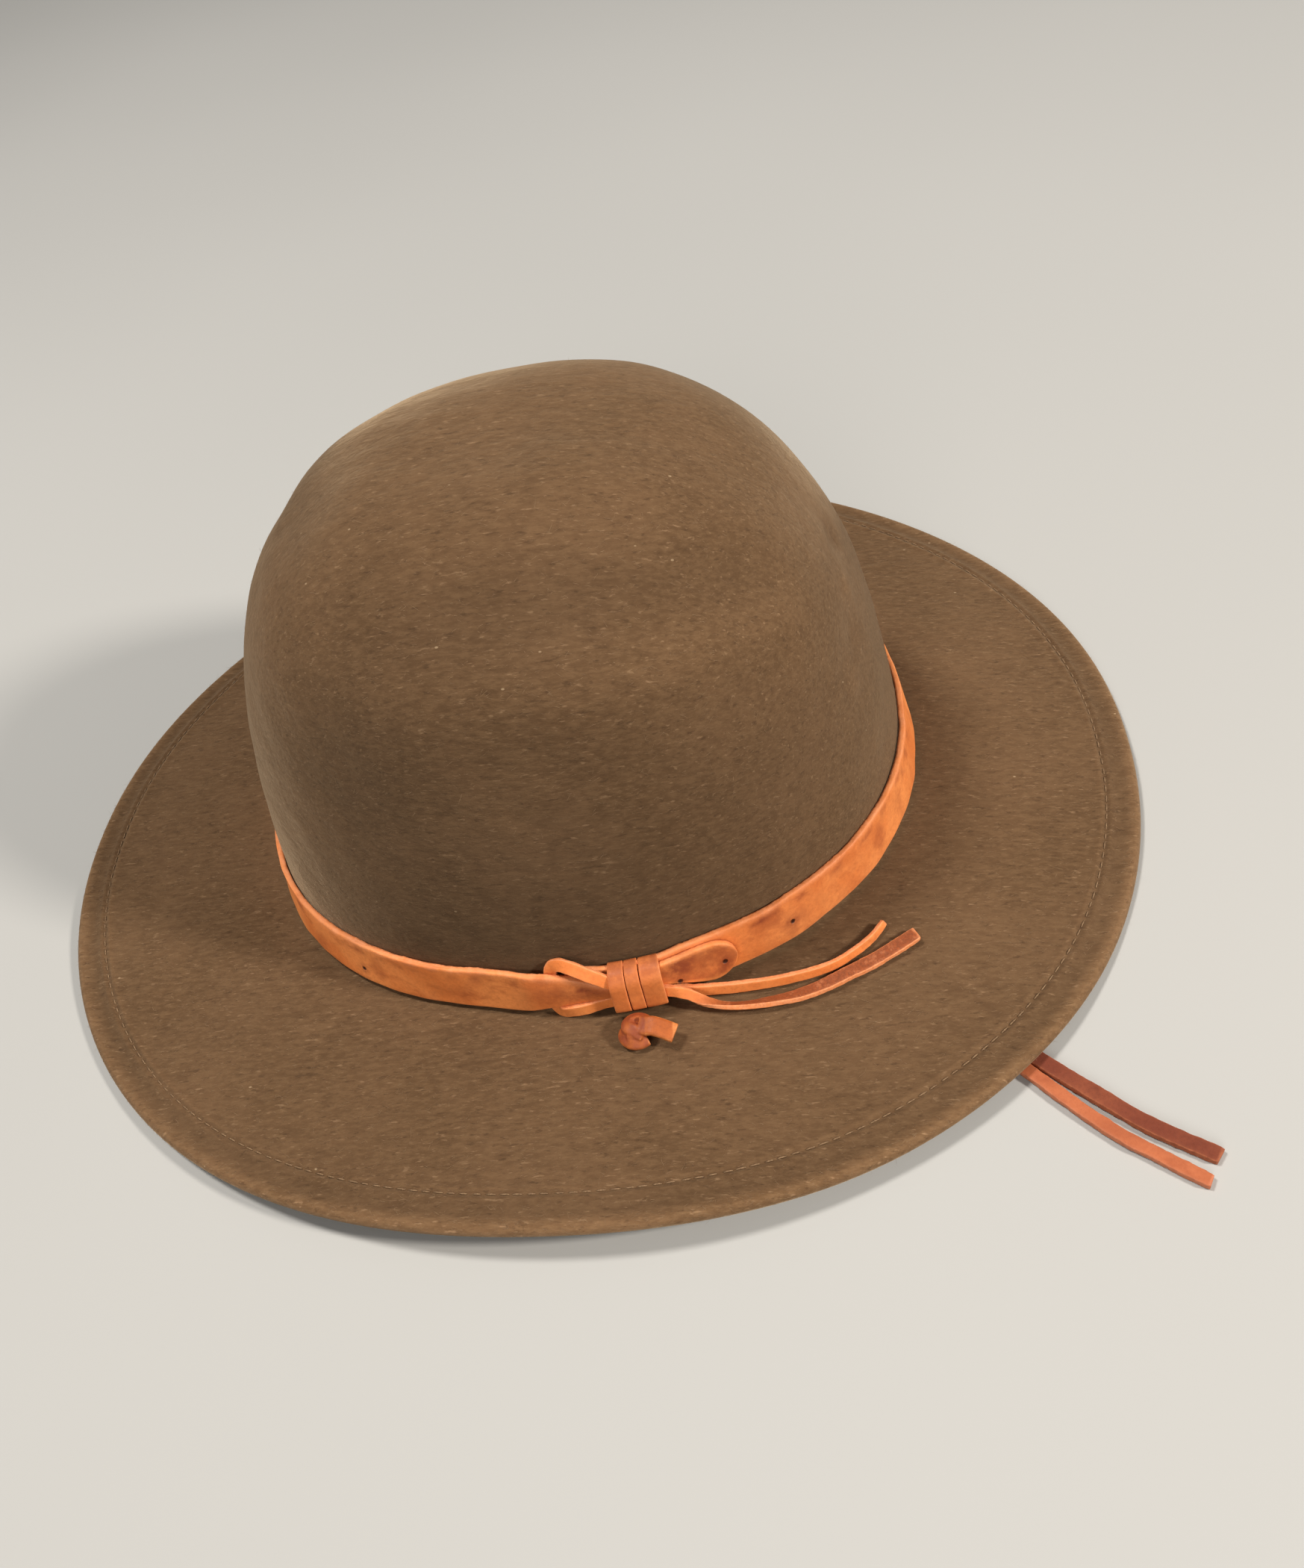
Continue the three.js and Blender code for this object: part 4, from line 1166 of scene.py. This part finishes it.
def band_keeper():
    hole, wall = KEEPER_HOLE, KEEPER_WALL
    points, faces, edge_values, darkening_values = [], [], [], []
    for start, end, low, high, out, tilt in KEEPER_TURNS:
        outer = rounded_rectangle(
            hole["low"] - wall["side"] + low,
            hole["high"] + wall["side"] + high,
            hole["inner"] - wall["back"],
            hole["outer"] + wall["side"] + out,
            wall["corners"],
        )
        corners = [corner - 0.9 for corner in wall["corners"]]
        inner = rounded_rectangle(hole["low"], hole["high"], hole["inner"], hole["outer"], corners)
        count = len(outer)
        inner, outer = spaced(inner, count), spaced(outer, count)
        around = grid_faces(len(KEEPER_SECTION), count, wrap_rows=True)
        faces += (len(points) + around).tolist()
        for share, lift, edge in KEEPER_SECTION:
            ring = mix(inner, outer, lift)
            height = ring[:, 0]
            lean = tilt * (height - 8.5) / 8.5
            points += list(seat(mix(start, end, share) - lean, height, np.maximum(ring[:, 1], 0.0)))
            edge_values += [edge] * count
            # Darker all over, more so towards its top and its foot
            top, foot = smooth((height - 11.5) / 3.5), smooth((3 - height) / 4)
            darkening_values += list((1 - edge) * (0.34 + 0.35 * top + 0.2 * foot))
    points = np.array(points)
    points = points + ripple(points, 7, 31)[:, None] * np.array([0.0, -0.08, 0.04])
    values = {"edge": edge_values, "burnish_and_shade": darkening_values}
    piece = add_object("keeper_turns", points, faces, BAND_LOOK, values)
    place(piece, "band_keeper")


band_keeper()

# The thong's loop behind the strap and its legs: angle, height and distance out
BOW_LOOP = [
    (-75.4, 5.2, 5.4),
    (-77.8, 7.8, 5.4),
    (-80.3, 10.2, 5.4),
    (-82.4, 12.1, 5.5),
    (-84.1, 14.0, 5.0),
    (-85.7, 15.6, 4.3),
    (-87.1, 16.7, 3.5),
    (-88.4, 17.4, 2.7),
    (-89.6, 17.6, 1.9),
    (-90.6, 17.1, 1.3),
    (-91.3, 15.9, 0.9),
    (-91.7, 13.5, 0.8),
    (-91.9, 9.5, 0.8),
    (-92.0, 5.0, 0.8),
    (-92.1, 2.4, 1.0),
    (-91.8, 0.7, 2.0),
    (-90.9, 0.0, 3.3),
    (-89.3, 0.9, 4.4),
    (-86.8, 1.9, 4.7),
    (-84.0, 2.7, 4.4),
    (-79.0, 2.9, 4.0),
    (-75.4, 2.9, 3.9),
]


def bow_loop():
    table = np.array(BOW_LOOP, float)
    points = seat(table[:, 0], table[:, 1], table[:, 2])
    _, outward, up = seat_frame(table[:, 0], table[:, 1])
    lean = np.radians(34) * smooth((table[:, 1] - 9) / 5)[:, None]
    facing = outward * np.cos(lean) + up * np.sin(lean)
    piece, _, _ = ribbon("bow_thong", points, facing, THONG, THONG_LOOK, 77)
    place(piece, "bow_loop")


bow_loop()

# The knots above the brim that hold the chin laces, measured from the top of their holes
HOLE = {"x": 23.5, "y": 99.4, "top": 10.3}
KNOT_MESH = {"voxel": 0.24, "soften": 0.5, "rounds": 3}
KNOT_STRIPS = {
    # Width and thickness; then each row: x, y, z and the way its outer face looks
    "stub": ((5.5, 2.0), [
        (1.6, 0.5, 4.7, 0.0, -0.2, 1.0),
        (3.5, 0.1, 5.2, 0.0, -0.2, 1.0),
        (5.2, -0.1, 5.5, 0.1, -0.2, 1.0),
        (7.8, -0.8, 5.0, 0.2, -0.2, 1.0),
        (11.4, -2.0, 3.9, 0.2, -0.2, 1.0),
    ]),
    "over": ((3.9, 2.3), [
        (4.2, 1.6, 1.6, 0.6, 0.3, 0.8),
        (3.3, 3.5, 2.5, 0.4, 0.6, 0.7),
        (1.0, 4.2, 3.1, 0.0, 0.6, 0.8),
        (-1.4, 2.9, 3.7, -0.4, 0.4, 0.8),
        (-1.6, 0.6, 4.2, -0.3, -0.1, 0.9),
        (0.6, -0.9, 4.3, 0.0, -0.5, 0.85),
        (2.6, -1.8, 3.6, 0.2, -0.5, 0.85),
    ]),
    "under": ((3.5, 2.4), [
        (-0.6, 2.2, 1.5, -0.6, 0.3, 0.7),
        (-2.8, 0.9, 2.0, -0.6, 0.0, 0.8),
        (-2.9, -1.3, 2.2, -0.5, -0.4, 0.75),
        (-0.9, -3.1, 2.1, 0.0, -0.7, 0.7),
        (1.5, -3.2, 2.1, 0.2, -0.6, 0.75),
        (3.6, -2.1, 2.1, 0.3, -0.4, 0.85),
    ]),
    "core": ((6.2, 4.4), [
        (-1.6, 0.0, 2.4, 0.0, 0.0, 1.0),
        (0.4, 0.0, 2.8, 0.0, 0.0, 1.0),
        (2.6, 0.0, 2.6, 0.0, 0.0, 1.0),
    ]),
    "stem": ((2.9, 2.4), [
        (0.0, 0.0, -3.0, 1.0, 0.0, 0.0),
        (0.0, 0.0, -1.0, 1.0, 0.0, 0.0),
        (-0.4, 0.2, 1.0, 1.0, 0.0, 0.0),
        (-1.0, 0.4, 3.0, 1.0, 0.0, 0.0),
    ]),
}


def plain_strip(rows, facing, width, thickness, first):
    """The vertices and faces of a plain rounded strip, for joining; first is its first vertex."""
    line, places, _ = smooth_line(rows, max(12, len(rows) * 6))
    normals = np.stack([np.interp(places, range(len(rows)), facing[:, k]) for k in range(3)], -1)
    _, normal, side = squared(line, normals)
    across, out, _, _ = ribbon_section(width, thickness, thickness * 0.42)
    points = line[:, None] + side[:, None] * across[None, :, None] + normal[:, None] * out[None, :, None]
    return points.reshape(-1, 3), tube_faces(len(line), len(across), first)


def standing_proud(mesh, rounds=14):
    """The mesh's vertices, and how far each stands out from its softened surroundings."""
    at = np.array([v.co[:] for v in mesh.vertices]) / MM
    normals = np.array([v.normal[:] for v in mesh.vertices])
    a, b = np.array([e.vertices[:] for e in mesh.edges]).T
    count = np.bincount(np.concatenate([a, b]), minlength=len(at))[:, None]
    soft = at
    for _ in range(rounds):
        total = np.zeros_like(at)
        np.add.at(total, a, soft[b])
        np.add.at(total, b, soft[a])
        soft = 0.5 * soft + 0.5 * total / count
    return at, ((at - soft) * normals).sum(-1)


def brim_knot(name, side):
    """The left knot is modelled (side -1), and the right one is its mirror image."""
    mirror = (1.0, -side, 1.0)
    place_of_hole = (HOLE["x"], side * HOLE["y"], HOLE["top"])
    points, faces = [], []
    for (width, thickness), rows in KNOT_STRIPS.values():
        table = np.array(rows)
        part, part_faces = plain_strip(table[:, :3], table[:, 3:], width, thickness, len(points))
        points += list(part)
        faces += part_faces
    piece = add_object(name, np.array(points) * mirror + place_of_hole, faces, KNOT_LOOK)
    remesh = piece.modifiers.new("join", "REMESH")
    remesh.mode = "VOXEL"
    remesh.voxel_size = KNOT_MESH["voxel"] * MM
    soften = piece.modifiers.new("soften", "SMOOTH")
    soften.factor, soften.iterations = KNOT_MESH["soften"], KNOT_MESH["rounds"]
    bake(piece)
    at, proud = standing_proud(piece.data)
    local = (at - place_of_hole) * mirror
    # The stub keeps its grain side; the knot is burnished in patches, with painted shade in its creases,
    # and light at its rims
    beside = np.abs((local[:, 1] - 0.1) * 0.96 + (local[:, 0] - 4.0) * 0.27)
    high = smooth((local[:, 2] - 4.3) / 0.6)
    stub = smooth((local[:, 0] - 3.1) / 0.5) * smooth((3.2 - beside) / 0.3) * high
    stub = np.maximum(stub, smooth((local[:, 0] - 5.0) / 1.0))
    toned = np.clip(0.68 + 0.5 * ripple(local, 3.4, 52), 0, 1)
    # Creases that sink below their softened surroundings get painted shade
    burnish_and_shade = (1 - stub) * np.maximum(0.9 * toned, smooth((0.01 - proud) / 0.07))
    cut = np.maximum(smooth((local[:, 0] - 10.6) / 0.6), stub * smooth((beside - 2.3) / 0.4))
    cut = np.maximum(cut, 0.8 * (1 - stub) * smooth((proud - 0.05) / 0.09))
    add_values(piece.data, {"burnish_and_shade": np.clip(burnish_and_shade, 0, 1), "edge": np.clip(cut, 0, 1)})
    place(piece, "brim_" + name.replace("tied_", ""))


def bake(piece):
    """Applies the piece's modifiers to its mesh."""
    graph = bpy.context.evaluated_depsgraph_get()
    made = bpy.data.meshes.new_from_object(piece.evaluated_get(graph))
    piece.modifiers.clear()
    piece.data = made
    made.polygons.foreach_set("use_smooth", np.ones(len(made.polygons), bool))
    made.update()


brim_knot("tied_knot_left", -1)
brim_knot("tied_knot_right", 1)


# Floor and light


def make_floor():
    s = 6.0
    floor = add_object(
        "floor",
        np.array([(-s, -s, 0), (s, -s, 0), (s, s, 0), (-s, s, 0)]) / MM + (0, 0, -0.02),
        [(0, 1, 2, 3)],
        floor_look(),
    )


def area_light(name, azimuth, elevation, distance, size, power, colour):
    """Azimuth is measured from +X towards +Y, in degrees."""
    a, e = math.radians(azimuth), math.radians(elevation)
    way = Vector((math.cos(a) * math.cos(e), math.sin(a) * math.cos(e), math.sin(e)))
    data = bpy.data.lights.new(name, "AREA")
    data.shape = "DISK"
    data.size, data.energy, data.color = size, power, colour
    light = bpy.data.objects.new(name, data)
    SCENE.collection.objects.link(light)
    light.location = way * distance
    light.rotation_mode = "QUATERNION"
    light.rotation_quaternion = (-way).to_track_quat("-Z", "Y")


def make_light():
    area_light("key", -16, 34, 2.2, 0.28, 46, (1.0, 0.93, 0.84))
    area_light("overhead", 165, 70, 2.0, 0.4, 30, (1.0, 0.95, 0.88))
    area_light("front", -95, 32, 2.4, 1.2, 20, (1.0, 0.95, 0.88))
    world = bpy.data.worlds.new("studio")
    world.use_nodes = True
    background = world.node_tree.nodes["Background"]
    background.inputs["Color"].default_value = (0.96, 0.98, 1.0, 1)
    background.inputs["Strength"].default_value = 0.15
    SCENE.world = world
    SCENE.view_settings.view_transform = "Standard"


make_floor()
make_light()
